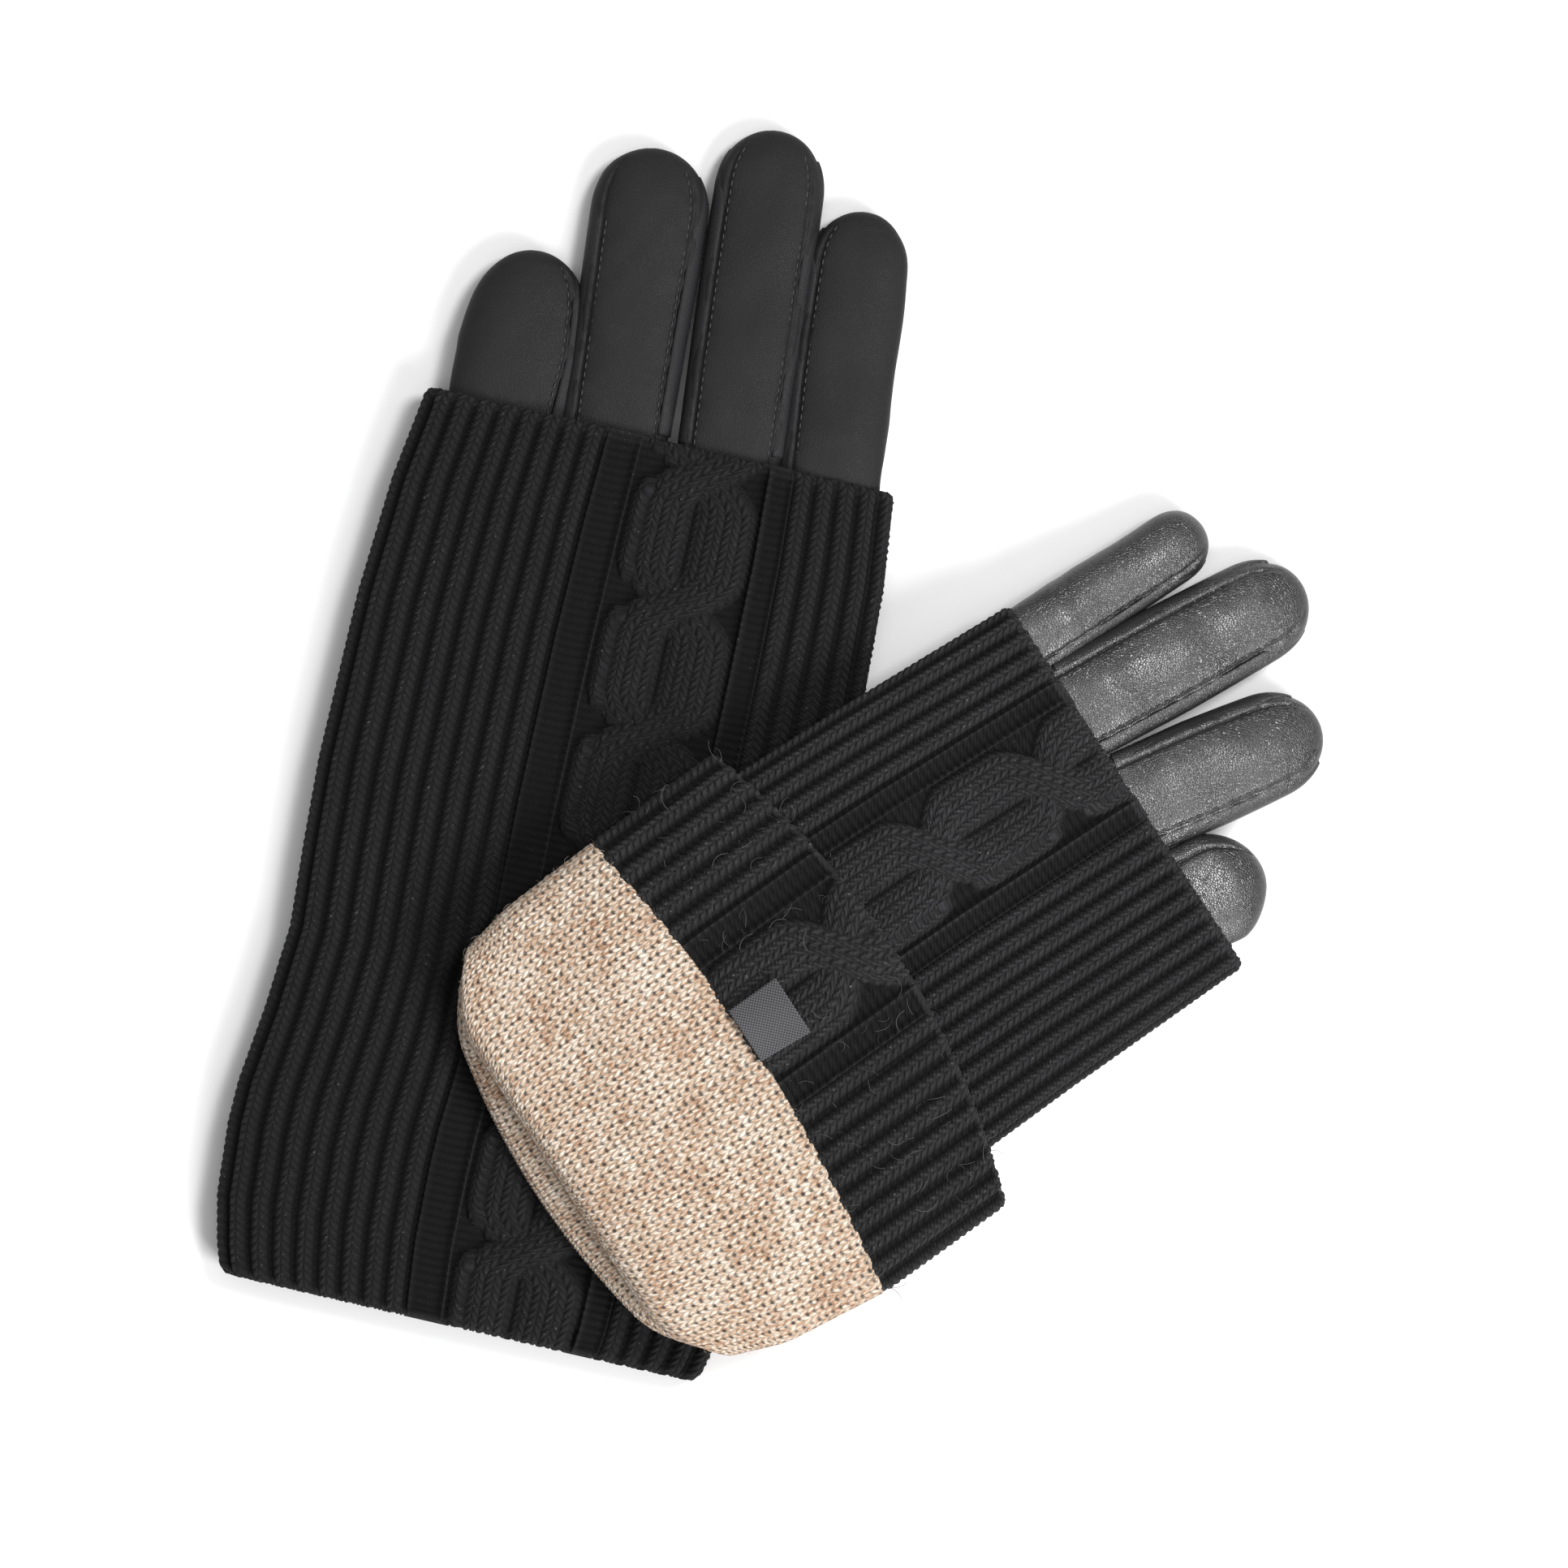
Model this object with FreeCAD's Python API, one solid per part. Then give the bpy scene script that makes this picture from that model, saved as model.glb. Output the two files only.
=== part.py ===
import FreeCAD, Part

import math
import os

# A pair of lined leather gloves with cable-knit over-sleeves, lying back up.
# The left glove lies flat with its sleeve straight. The right glove lies across it
# with its cuff turned back, so that the beige lining and the deep hem show.
# All sizes are in millimetres, +Z is up, and the table is the plane z = 0.

# Thickness of each layer.
KNIT = 2.0
HEM = 2.0
LEATHER = 0.9
LINING = 1.1
LABEL = 0.6
LAYERS = KNIT + LEATHER + LINING
CAVITY = 4.6
SLEEVE_H = 2.0 * LAYERS + CAVITY
FINGER_H = 11.0
THUMB_H = 4.0

# Clearances between pieces that move apart.
AIR = 0.3
THUMB_AIR = 0.6

# Levels of the left glove: the thumb lies under its palm.
L_FLOOR = THUMB_H + THUMB_AIR
L_ROOF = L_FLOOR + SLEEVE_H
L_FINGER_LOW = 5.2
L_SLOPE = 0.064

# Levels of the right glove: lower flap, sleeve and upper flap on top of the left sleeve.
FLAP_H = KNIT + HEM
R_LOWER_FLAP = L_ROOF + 2.0 * AIR
R_FLOOR = R_LOWER_FLAP + FLAP_H + AIR
R_ROOF = R_FLOOR + SLEEVE_H
R_UPPER_FLAP = R_ROOF + AIR
R_FINGER_LOW = R_FLOOR + 0.6
R_THUMB_LOW = R_FLOOR - AIR - THUMB_H
R_SLOPE = 0.206
R_BEND = -48.0

# How far the deep hem is turned in, and where the leather hand ends at the wrist.
HEM_DEPTH = 35.5
WRIST = -95.0
SEAM_GAP = 0.3

# Where each glove's knit front edge has its middle, and the direction it points in.
L_ORIGIN = (-25.2, 73.0)
L_ANGLE = 77.0
R_ORIGIN = (83.4, -7.8)
R_ANGLE = 33.0

# Outlines of the sleeves as stations (u, right edge, left edge), u along the hand.
L_SLEEVE = [(-212.5, -59.0, 57.0), (-178.0, -61.0, 62.5), (-110.0, -61.0, 61.5), (0.0, -56.0, 56.0)]
R_SLEEVE = [(-156.0, -58.0, 50.0), (-110.0, -55.0, 52.0), (R_BEND, -51.5, 51.5), (0.0, -50.0, 50.0)]
UPPER_FLAP = [(-156.0, -60.8, 51.9), (-111.3, -67.4, 56.8), (-75.8, -66.1, 58.8)]
LOWER_FLAP = [(-162.0, -58.0, 52.0), (-117.3, -60.0, 53.0), (-84.0, -60.0, 53.0)]

# Fingers: name, base (u, v), direction in degrees from u, length, base width, end width.
L_FINGERS = [
    ("index", 1.0, -40.7, 6.0, 62.0, 22.3, 21.0),
    ("middle", 1.0, -16.6, 4.7, 76.0, 23.3, 23.0),
    ("ring", 1.0, 10.6, 4.0, 65.5, 23.5, 25.0),
    ("little", 1.0, 37.3, 0.3, 35.5, 27.0, 20.0),
]
R_FINGERS = [
    ("index", 1.0, 41.0, 0.0, 47.5, 15.2, 14.5),
    ("middle", 1.0, 21.2, -4.5, 59.5, 23.0, 21.0),
    ("ring", 1.0, -4.6, -10.0, 45.0, 23.5, 21.0),
    ("little", 1.0, -31.2, -8.0, 14.5, 24.0, 20.0),
]
L_THUMB = ("thumb", -72.0, -38.0, 15.0, 52.0, 24.0, 19.0)
R_THUMB = ("thumb", -44.0, 30.0, -15.0, 46.0, 22.0, 18.0)

# Which sides of each finger are fourchettes: +1 is the left side, -1 the right.
L_FORKS = {"index": (1,), "middle": (-1, 1), "ring": (-1, 1), "little": (-1,)}
R_FORKS = {"index": (-1,), "middle": (-1, 1), "ring": (-1, 1), "little": (1,)}

# The woven label stands out from under the lining's edge on the upper flap.
LABEL_U = (-111.0, -93.5)
LABEL_V = (-7.2, 7.2)

# Share of a finger's length at which its rounded end begins, and the end's outline
# as (share of end length, share of end half width).
END_START = 0.84
END_SHAPE = [(0.0, 1.0), (0.55, 0.82), (0.88, 0.5), (1.0, 0.2)]


class Glove:
    """Places points of one glove: u along the hand, v to its left, w up."""

    def __init__(self, side, origin, angle, bend, slope):
        self.side = side
        self.origin = origin
        self.cos = math.cos(math.radians(angle))
        self.sin = math.sin(math.radians(angle))
        self.bend = bend
        self.slope = slope

    def point(self, u, v, w, sloped):
        """Return the point in the row frame; a sloped piece falls towards the fingers."""
        drop = self.slope * (u - self.bend) if sloped else 0.0
        x = self.origin[0] + u * self.cos - v * self.sin
        y = self.origin[1] + u * self.sin + v * self.cos
        return FreeCAD.Vector(x, y, w - drop)


def block(glove, outline, low, high, sloped=False):
    """Solid over a plan outline between two levels, each a number or a function of u."""
    def level(value, u):
        return value(u) if callable(value) else value

    bottom = [glove.point(u, v, level(low, u), sloped) for u, v in outline]
    top = [glove.point(u, v, level(high, u), sloped) for u, v in outline]
    count = len(outline)
    rings = [bottom, top]
    for i in range(count):
        j = (i + 1) % count
        rings.append([bottom[i], bottom[j], top[j], top[i]])
    faces = [Part.Face(Part.makePolygon(ring + [ring[0]])) for ring in rings]
    solid = Part.makeSolid(Part.makeShell(faces))
    if solid.Volume < 0.0:
        solid.reverse()
    return solid


def edges_at(stations, u):
    """Right and left edge of a station list at u, by straight interpolation."""
    for (u0, r0, l0), (u1, r1, l1) in zip(stations, stations[1:]):
        if u0 <= u <= u1:
            share = (u - u0) / (u1 - u0)
            return r0 + share * (r1 - r0), l0 + share * (l1 - l0)
    raise ValueError("u outside the stations")


def clipped(stations, start, end):
    """Stations between two values of u, with new ones at both ends."""
    inner = [s for s in stations if start < s[0] < end]
    first = (start,) + edges_at(stations, start)
    last = (end,) + edges_at(stations, end)
    return [first] + inner + [last]


def sheet(glove, stations, low, high, inset=0.0):
    """One flat layer over a station list, as one block per stretch."""
    solids = []
    for (u0, r0, l0), (u1, r1, l1) in zip(stations, stations[1:]):
        outline = [(u0, r0 + inset), (u1, r1 + inset), (u1, l1 - inset), (u0, l0 - inset)]
        solids.append(block(glove, outline, low, high, (u0 + u1) / 2.0 > glove.bend))
    return solids


def flat_tube(glove, stations, inset, thickness, floor, roof):
    """Flattened tube: back, palm and two folded sides, open at both ends."""
    def low_inner(u):
        return floor(u) + inset + thickness

    def high_inner(u):
        return roof(u) - inset - thickness

    solids = sheet(glove, stations, lambda u: floor(u) + inset, low_inner, inset)
    solids += sheet(glove, stations, high_inner, lambda u: roof(u) - inset, inset)
    for (u0, r0, l0), (u1, r1, l1) in zip(stations, stations[1:]):
        for side, a0, a1 in ((1.0, r0, r1), (-1.0, l0, l1)):
            outer0 = a0 + side * inset
            outer1 = a1 + side * inset
            depth = side * thickness
            outline = [(u0, outer0), (u1, outer1), (u1, outer1 + depth), (u0, outer0 + depth)]
            solids.append(block(glove, outline, low_inner, high_inner, (u0 + u1) / 2.0 > glove.bend))
    return solids


def finger_base(finger):
    """Middle of a finger's base edge, set forward so that its rear corner clears the hand."""
    name, base_u, base_v, angle, length, base_width, end_width = finger
    return base_u + base_width / 2.0 * abs(math.sin(math.radians(angle))), base_v


def finger_outline(finger, inset=0.0):
    """Plan outline of a finger: base right, right side, rounded end, left side, base left."""
    name, _, _, angle, length, base_width, end_width = finger
    base_u, base_v = finger_base(finger)
    straight = END_START * length
    right = [(0.0, -base_width / 2.0)]
    for along, across in END_SHAPE:
        right.append((straight + along * (length - straight), -across * end_width / 2.0))
    local = right + [(a, -b) for a, b in reversed(right)]
    local = offset_inwards(local, inset)
    c = math.cos(math.radians(angle))
    s = math.sin(math.radians(angle))
    return [(base_u + a * c - b * s, base_v + a * s + b * c) for a, b in local]


def offset_inwards(outline, distance):
    """Convex outline moved inwards on every edge but the open base, which is the last."""
    count = len(outline)
    lines = []
    for i in range(count):
        ax, ay = outline[i]
        bx, by = outline[(i + 1) % count]
        size = math.hypot(bx - ax, by - ay)
        shift = 0.0 if i == count - 1 else distance
        nx = -(by - ay) / size
        ny = (bx - ax) / size
        lines.append((ax + nx * shift, ay + ny * shift, (bx - ax) / size, (by - ay) / size))
    moved = []
    for i in range(count):
        px, py, dx, dy = lines[i - 1]
        qx, qy, ex, ey = lines[i]
        cross = dx * ey - dy * ex
        step = ((qx - px) * ey - (qy - py) * ex) / cross
        moved.append((px + step * dx, py + step * dy))
    return moved


def finger_shell(glove, finger, inset, thickness, low, high):
    """Closed-ended flat shell: its plates, its end walls, and its right and left wall."""
    outer = finger_outline(finger, inset)
    inner = finger_outline(finger, inset + thickness)
    plates = [
        block(glove, outer, low, low + thickness, True),
        block(glove, outer, high - thickness, high, True),
    ]
    walls = []
    for i in range(len(outer) - 1):
        ring = [outer[i], outer[i + 1], inner[i + 1], inner[i]]
        walls.append(block(glove, ring, low + thickness, high - thickness, True))
    return plates, walls[1:-1], {-1: walls[0], 1: walls[-1]}


def add_fingers(nodes, glove, fingers, forks, low):
    """Leather finger, its fourchettes and its lining, for four fingers."""
    high = low + FINGER_H
    for finger in fingers:
        name = glove.side + "_" + finger[0]
        plates, end, sides = finger_shell(glove, finger, 0.0, LEATHER, low, high)
        leather = plates + end
        for side, wall in sides.items():
            if side in forks[finger[0]]:
                edge = "left" if side > 0 else "right"
                nodes[name + "_fourchette_" + edge] = [wall]
            else:
                leather.append(wall)
        nodes[name + "_leather"] = leather
        plates, end, sides = finger_shell(glove, finger, LEATHER, LINING, low + LEATHER, high - LEATHER)
        nodes[name + "_lining"] = plates + end + list(sides.values())


def add_thumb(nodes, glove, thumb, low, sloped):
    """Thumb pressed flat under the palm: two leather faces with the lining between."""
    name = glove.side + "_thumb"
    outer = finger_outline(thumb)
    inner = finger_outline(thumb, LEATHER)
    high = low + THUMB_H
    leather = [
        block(glove, outer, low, low + LEATHER, sloped),
        block(glove, outer, high - LEATHER, high, sloped),
    ]
    for i in range(len(outer) - 1):
        ring = [outer[i], outer[i + 1], inner[i + 1], inner[i]]
        leather.append(block(glove, ring, low + LEATHER, high - LEATHER, sloped))
    nodes[name + "_leather"] = leather
    nodes[name + "_lining"] = [block(glove, inner, low + LEATHER, high - LEATHER, sloped)]


def add_sleeve(nodes, glove, stations, floor, roof, lining_start):
    """Knit over-sleeve, leather hand inside it, and the beige lining inside both."""
    side = glove.side
    hand = clipped(stations, WRIST, 0.0)
    lining = clipped(stations, lining_start, 0.0)
    nodes[side + "_sleeve_knit"] = flat_tube(glove, stations, 0.0, KNIT, floor, roof)
    nodes[side + "_hand_leather"] = flat_tube(glove, hand, KNIT, LEATHER, floor, roof)
    nodes[side + "_hand_lining"] = flat_tube(glove, lining, KNIT + LEATHER, LINING, floor, roof)


def add_flap(nodes, glove, name, stations, low, facing):
    """Turned-back cuff layer: knit next to the sleeve, lining and hem facing away."""
    fold = stations[0][0]
    seam = stations[1][0]
    edge = stations[-1][0]
    knit_low = low if facing > 0 else low + HEM
    outer_low = low + KNIT if facing > 0 else low
    lining_low = outer_low if facing > 0 else low + HEM - LINING
    band = clipped(stations, fold, seam)
    hem = clipped(stations, seam + SEAM_GAP, edge)
    nodes[name + "_knit"] = sheet(glove, stations, knit_low, knit_low + KNIT)
    nodes[name + "_lining"] = sheet(glove, band, lining_low, lining_low + LINING)
    nodes[name + "_hem"] = sheet(glove, hem, outer_low, outer_low + HEM)


def left_floor(u):
    """Under side of the left sleeve: on the table at the cuff, above the thumb at the palm."""
    start = L_SLEEVE[1][0]
    end = L_SLEEVE[2][0]
    share = min(max((u - start) / (end - start), 0.0), 1.0)
    return share * L_FLOOR


def build_nodes():
    """All nodes of the pair as lists of solids, before they are centred."""
    left = Glove("left", L_ORIGIN, L_ANGLE, 0.0, L_SLOPE)
    right = Glove("right", R_ORIGIN, R_ANGLE, R_BEND, R_SLOPE)
    nodes = {}
    cuff = L_SLEEVE[0][0]
    hem_end = cuff + HEM_DEPTH
    add_sleeve(nodes, left, L_SLEEVE, left_floor, lambda u: L_ROOF, hem_end + SEAM_GAP)
    hem = clipped(L_SLEEVE, cuff, hem_end)
    nodes["left_sleeve_hem"] = flat_tube(left, hem, KNIT, HEM, left_floor, lambda u: L_ROOF)
    add_fingers(nodes, left, L_FINGERS, L_FORKS, L_FINGER_LOW)
    add_thumb(nodes, left, L_THUMB, 0.0, False)
    add_sleeve(nodes, right, R_SLEEVE, lambda u: R_FLOOR, lambda u: R_ROOF, R_SLEEVE[0][0])
    add_fingers(nodes, right, R_FINGERS, R_FORKS, R_FINGER_LOW)
    add_thumb(nodes, right, R_THUMB, R_THUMB_LOW, True)
    add_flap(nodes, right, "right_upper_cuff", UPPER_FLAP, R_UPPER_FLAP, 1)
    add_flap(nodes, right, "right_lower_cuff", LOWER_FLAP, R_LOWER_FLAP, -1)
    label = [(LABEL_U[0], LABEL_V[0]), (LABEL_U[1], LABEL_V[0]), (LABEL_U[1], LABEL_V[1]),
             (LABEL_U[0], LABEL_V[1])]
    label_low = R_UPPER_FLAP + FLAP_H
    nodes["right_cuff_label"] = [block(right, label, label_low, label_low + LABEL)]
    return nodes, left, right


def bounds_of(nodes):
    """Bounding box of the whole pair."""
    box = FreeCAD.BoundBox()
    for solids in nodes.values():
        for solid in solids:
            box.add(solid.BoundBox)
    return box


def main():
    """Build, centre and write every node."""
    nodes, left, right = build_nodes()
    box = bounds_of(nodes)
    shift = FreeCAD.Vector(-box.Center.x, -box.Center.y, -box.ZMin)
    for name, solids in sorted(nodes.items()):
        shape = Part.makeCompound(solids)
        shape.translate(shift)
        shape.exportStep("parts/" + name + ".step")
        print(name, len(solids), "solids", round(sum(s.Volume for s in solids), 1), "mm3")
    print("size", round(box.XLength, 2), round(box.YLength, 2), round(box.ZLength, 2))
    print("shift", round(shift.x, 3), round(shift.y, 3), round(shift.z, 3))


if __name__ == "__main__":
    main()
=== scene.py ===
import logging
import math
from dataclasses import dataclass, field
from enum import Enum
from typing import Callable, Sequence

import bpy
import bmesh
import numpy as np
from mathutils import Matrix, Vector


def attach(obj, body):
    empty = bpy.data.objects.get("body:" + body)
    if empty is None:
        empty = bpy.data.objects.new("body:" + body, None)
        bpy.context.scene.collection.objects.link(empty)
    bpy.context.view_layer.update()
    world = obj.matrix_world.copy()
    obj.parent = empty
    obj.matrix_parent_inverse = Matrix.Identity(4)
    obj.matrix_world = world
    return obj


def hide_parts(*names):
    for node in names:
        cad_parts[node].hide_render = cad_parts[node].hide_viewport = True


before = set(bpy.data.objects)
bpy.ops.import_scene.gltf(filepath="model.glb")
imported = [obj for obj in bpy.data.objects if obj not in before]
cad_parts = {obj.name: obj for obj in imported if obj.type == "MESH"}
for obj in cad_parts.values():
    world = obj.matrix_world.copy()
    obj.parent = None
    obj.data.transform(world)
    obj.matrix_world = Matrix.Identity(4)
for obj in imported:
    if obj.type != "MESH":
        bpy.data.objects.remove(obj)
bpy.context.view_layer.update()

log = logging.getLogger("gloves")

MM = 0.001
FULL_TURN = 2.0 * math.pi
Array = np.ndarray


# ---------------------------------------------------------------- helpers

def linear(code: str) -> tuple[float, float, float, float]:
    """Turn an sRGB hex colour into a linear RGBA tuple.

    Args:
        code: Six hex digits, with or without a leading hash.

    Returns:
        Linear red, green, blue and alpha.
    """
    text = code.lstrip("#")
    values = [int(text[i:i + 2], 16) / 255.0 for i in (0, 2, 4)]
    made = [v / 12.92 if v <= 0.04045 else ((v + 0.055) / 1.055) ** 2.4 for v in values]
    return made[0], made[1], made[2], 1.0


def node(tree: bpy.types.NodeTree, kind: str, settings: dict | None = None,
         inputs: dict | None = None) -> bpy.types.Node:
    """Add a node, set its properties, and set or link its inputs.

    Args:
        tree: The node tree that gets the node.
        kind: Blender's name for the node type.
        settings: Property names and values.
        inputs: Socket names or numbers, with values, or output sockets to link.

    Returns:
        The new node.
    """
    made = tree.nodes.new(kind)
    for name, value in (settings or {}).items():
        setattr(made, name, value)
    for name, value in (inputs or {}).items():
        if isinstance(value, bpy.types.NodeSocket):
            tree.links.new(value, made.inputs[name])
        else:
            made.inputs[name].default_value = value
    return made


Socket = bpy.types.NodeSocket
Tree = bpy.types.NodeTree


def maths(tree: Tree, operation: str, first: object, second: object = 0.0, third: object = 0.0,
          clamp: bool = False) -> Socket:
    """Output of one maths node; each value is a number or an output socket."""
    return node(tree, "ShaderNodeMath", {"operation": operation, "use_clamp": clamp},
                {0: first, 1: second, 2: third}).outputs[0]


def remap(tree: Tree, value: Socket, low: float = 0.0, high: float = 1.0,
          to_low: float = 0.0, to_high: float = 1.0) -> Socket:
    """Value taken from low..high to to_low..to_high, and held at the ends."""
    return node(tree, "ShaderNodeMapRange", None,
                {"Value": value, "From Min": low, "From Max": high,
                 "To Min": to_low, "To Max": to_high}).outputs["Result"]


def noise(tree: Tree, place: Socket, scale: float, detail: float, roughness: float = 0.5) -> Socket:
    """Level of a noise texture at a place."""
    return node(tree, "ShaderNodeTexNoise", None,
                {"Vector": place, "Scale": scale, "Detail": detail, "Roughness": roughness}).outputs["Fac"]


def mix_colour(tree: Tree, share: Socket, first: object, second: object) -> Socket:
    """First colour where the share is 0, second where it is 1."""
    return node(tree, "ShaderNodeMix", {"data_type": "RGBA"}, {0: share, 6: first, 7: second}).outputs[2]


def scaled(tree: Tree, vector: Socket, size: Socket) -> Socket:
    """Colour or vector times a number."""
    return node(tree, "ShaderNodeVectorMath", {"operation": "SCALE"}, {0: vector, "Scale": size}).outputs[0]


def bump(tree: Tree, height: Socket, strength: float, distance: float) -> Socket:
    """Normal of a surface raised by a height; the distance is in metres."""
    return node(tree, "ShaderNodeBump", None,
                {"Strength": strength, "Distance": distance, "Height": height}).outputs["Normal"]


def pattern_place(tree: Tree) -> Socket:
    """The panel's own UV map, in stitches or millimetres."""
    return node(tree, "ShaderNodeUVMap", {"uv_map": "Pattern"}).outputs["UV"]


def object_place(tree: Tree) -> Socket:
    """Place in the piece's own space, in metres."""
    return node(tree, "ShaderNodeTexCoord").outputs["Object"]


def new_material(name: str, fixed: dict[str, object]) -> tuple[bpy.types.Material, Tree]:
    """Make a material and set its shader's fixed values on their own sockets.

    Args:
        name: The material's name.
        fixed: Shader input names and values.

    Returns:
        The material and its node tree.
    """
    made = bpy.data.materials.new(name)
    made.use_nodes = True
    shader = made.node_tree.nodes["Principled BSDF"]
    for key, value in fixed.items():
        shader.inputs[key].default_value = value
    return made, made.node_tree


def feed_shader(tree: Tree, sources: dict[str, Socket]) -> None:
    """Link outputs to the named inputs of a material's shader."""
    shader = tree.nodes["Principled BSDF"]
    for key, source in sources.items():
        tree.links.new(source, shader.inputs[key])


def new_tree(name: str, numbers: dict[str, float]) -> tuple[Tree, bpy.types.Node]:
    """Start a Geometry Nodes tree with named inputs.

    Args:
        name: The tree's name.
        numbers: Names and default values of its number inputs.

    Returns:
        The tree and its input node.
    """
    tree = bpy.data.node_groups.new(name, "GeometryNodeTree")
    face = tree.interface
    face.new_socket(name="Geometry", in_out="INPUT", socket_type="NodeSocketGeometry")
    for key, value in numbers.items():
        kind = "NodeSocketInt" if isinstance(value, int) else "NodeSocketFloat"
        face.new_socket(name=key, in_out="INPUT", socket_type=kind).default_value = value
    face.new_socket(name="Material", in_out="INPUT", socket_type="NodeSocketMaterial")
    face.new_socket(name="Geometry", in_out="OUTPUT", socket_type="NodeSocketGeometry")
    return tree, node(tree, "NodeGroupInput")


def close_tree(tree: Tree, entry: bpy.types.Node, geometry: Socket) -> Tree:
    """Realize a tree's instances, set its material and end it."""
    whole = node(tree, "GeometryNodeRealizeInstances", None, {0: geometry})
    dressed = node(tree, "GeometryNodeSetMaterial", None,
                   {"Geometry": whole.outputs[0], "Material": entry.outputs["Material"]})
    node(tree, "NodeGroupOutput", None, {0: dressed.outputs[0]})
    return tree


def smooth_noise(points: Array, scale: float, seed: int) -> Array:
    """Smooth value noise from a sum of fixed waves, about -1 to 1.

    Args:
        points: Places in millimetres, shape (..., 3).
        scale: Typical wavelength in millimetres.
        seed: Seed for the waves' directions and phases.

    Returns:
        One number for each point.
    """
    source = np.random.default_rng(seed)
    total = np.zeros(points.shape[:-1])
    for _ in range(9):
        way = source.normal(size=3)
        way = way / np.linalg.norm(way) * source.uniform(0.6, 1.5) * FULL_TURN / scale
        total += np.sin(points @ way + source.uniform(0.0, FULL_TURN))
    return total / 4.5


def normals_of(grid: Array) -> Array:
    """Unit normals of a grid of points, from its rows and columns.

    Args:
        grid: Points, shape (rows, columns, 3).

    Returns:
        Normals of the same shape, along column direction cross row direction.
    """
    along = np.gradient(grid, axis=0)
    across = np.gradient(grid, axis=1)
    made = np.cross(across, along)
    size = np.linalg.norm(made, axis=-1, keepdims=True)
    return made / np.maximum(size, 1e-9)


def mesh_object(name: str, points: Array, faces: list, material: bpy.types.Material,
                uv: Array | None = None) -> bpy.types.Object:
    """Make an object from points in millimetres, with faces turned outwards.

    Args:
        name: Object name.
        points: Points in millimetres in the row frame, shape (n, 3).
        faces: Lists of point numbers.
        material: Its material.
        uv: One pattern coordinate pair for each point.

    Returns:
        The object, at the origin, with smooth faces.
    """
    mesh = bpy.data.meshes.new(name)
    mesh.from_pydata((points * MM).tolist(), [], faces)
    mesh.materials.append(material)
    if uv is not None:
        layer = mesh.uv_layers.new(name="Pattern")
        loops = np.zeros(len(mesh.loops), dtype=np.int32)
        mesh.loops.foreach_get("vertex_index", loops)
        layer.data.foreach_set("uv", uv[loops].astype(np.float32).ravel())
    work = bmesh.new()
    work.from_mesh(mesh)
    bmesh.ops.recalc_face_normals(work, faces=work.faces)
    work.to_mesh(mesh)
    work.free()
    mesh.shade_smooth()
    made = bpy.data.objects.new(name, mesh)
    bpy.context.scene.collection.objects.link(made)
    return made


def bridge(first: Sequence[int], second: Sequence[int]) -> list:
    """Triangles between two rows of points that run side by side.

    Args:
        first: Point numbers of one row.
        second: Point numbers of the other.

    Returns:
        The triangles.
    """
    made = []
    i = 0
    j = 0
    while i < len(first) - 1 or j < len(second) - 1:
        share_i = (i + 1) / max(len(first) - 1, 1)
        share_j = (j + 1) / max(len(second) - 1, 1)
        if j == len(second) - 1 or (i < len(first) - 1 and share_i <= share_j):
            made.append((first[i], first[i + 1], second[j]))
            i += 1
        else:
            made.append((first[i], second[j + 1], second[j]))
            j += 1
    return made


def shell_object(name: str, outer: Array, inner: Array, material: bpy.types.Material,
                 uv: Array) -> bpy.types.Object:
    """Closed sheet from a fine outer grid and a coarse inner grid, joined at the rims.

    Args:
        name: Object name.
        outer: Outer points, shape (rows, columns, 3), in millimetres.
        inner: Inner points, with fewer rows and columns.
        material: Its material.
        uv: Pattern coordinates of the outer points, shape (rows, columns, 2).

    Returns:
        The closed sheet.
    """
    rows, cols = outer.shape[:2]
    in_rows, in_cols = inner.shape[:2]
    index = np.arange(rows * cols).reshape(rows, cols)
    back = np.arange(in_rows * in_cols).reshape(in_rows, in_cols) + rows * cols
    quads = np.stack([index[:-1, :-1], index[:-1, 1:], index[1:, 1:], index[1:, :-1]], -1)
    backs = np.stack([back[:-1, :-1], back[1:, :-1], back[1:, 1:], back[:-1, 1:]], -1)
    faces = quads.reshape(-1, 4).tolist() + backs.reshape(-1, 4).tolist()
    rims = [(index[0], back[0]), (index[-1], back[-1]),
            (index[:, 0], back[:, 0]), (index[:, -1], back[:, -1])]
    for fine, coarse in rims:
        faces += bridge(fine.tolist(), coarse.tolist())
    pick_rows = np.linspace(0, rows - 1, in_rows).round().astype(int)
    pick_cols = np.linspace(0, cols - 1, in_cols).round().astype(int)
    uv_inner = uv[pick_rows][:, pick_cols].reshape(-1, 2)
    points = np.concatenate([outer.reshape(-1, 3), inner.reshape(-1, 3)])
    return mesh_object(name, points, faces, material, np.concatenate([uv.reshape(-1, 2), uv_inner]))


# ---------------------------------------------------------------- finishes

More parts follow.
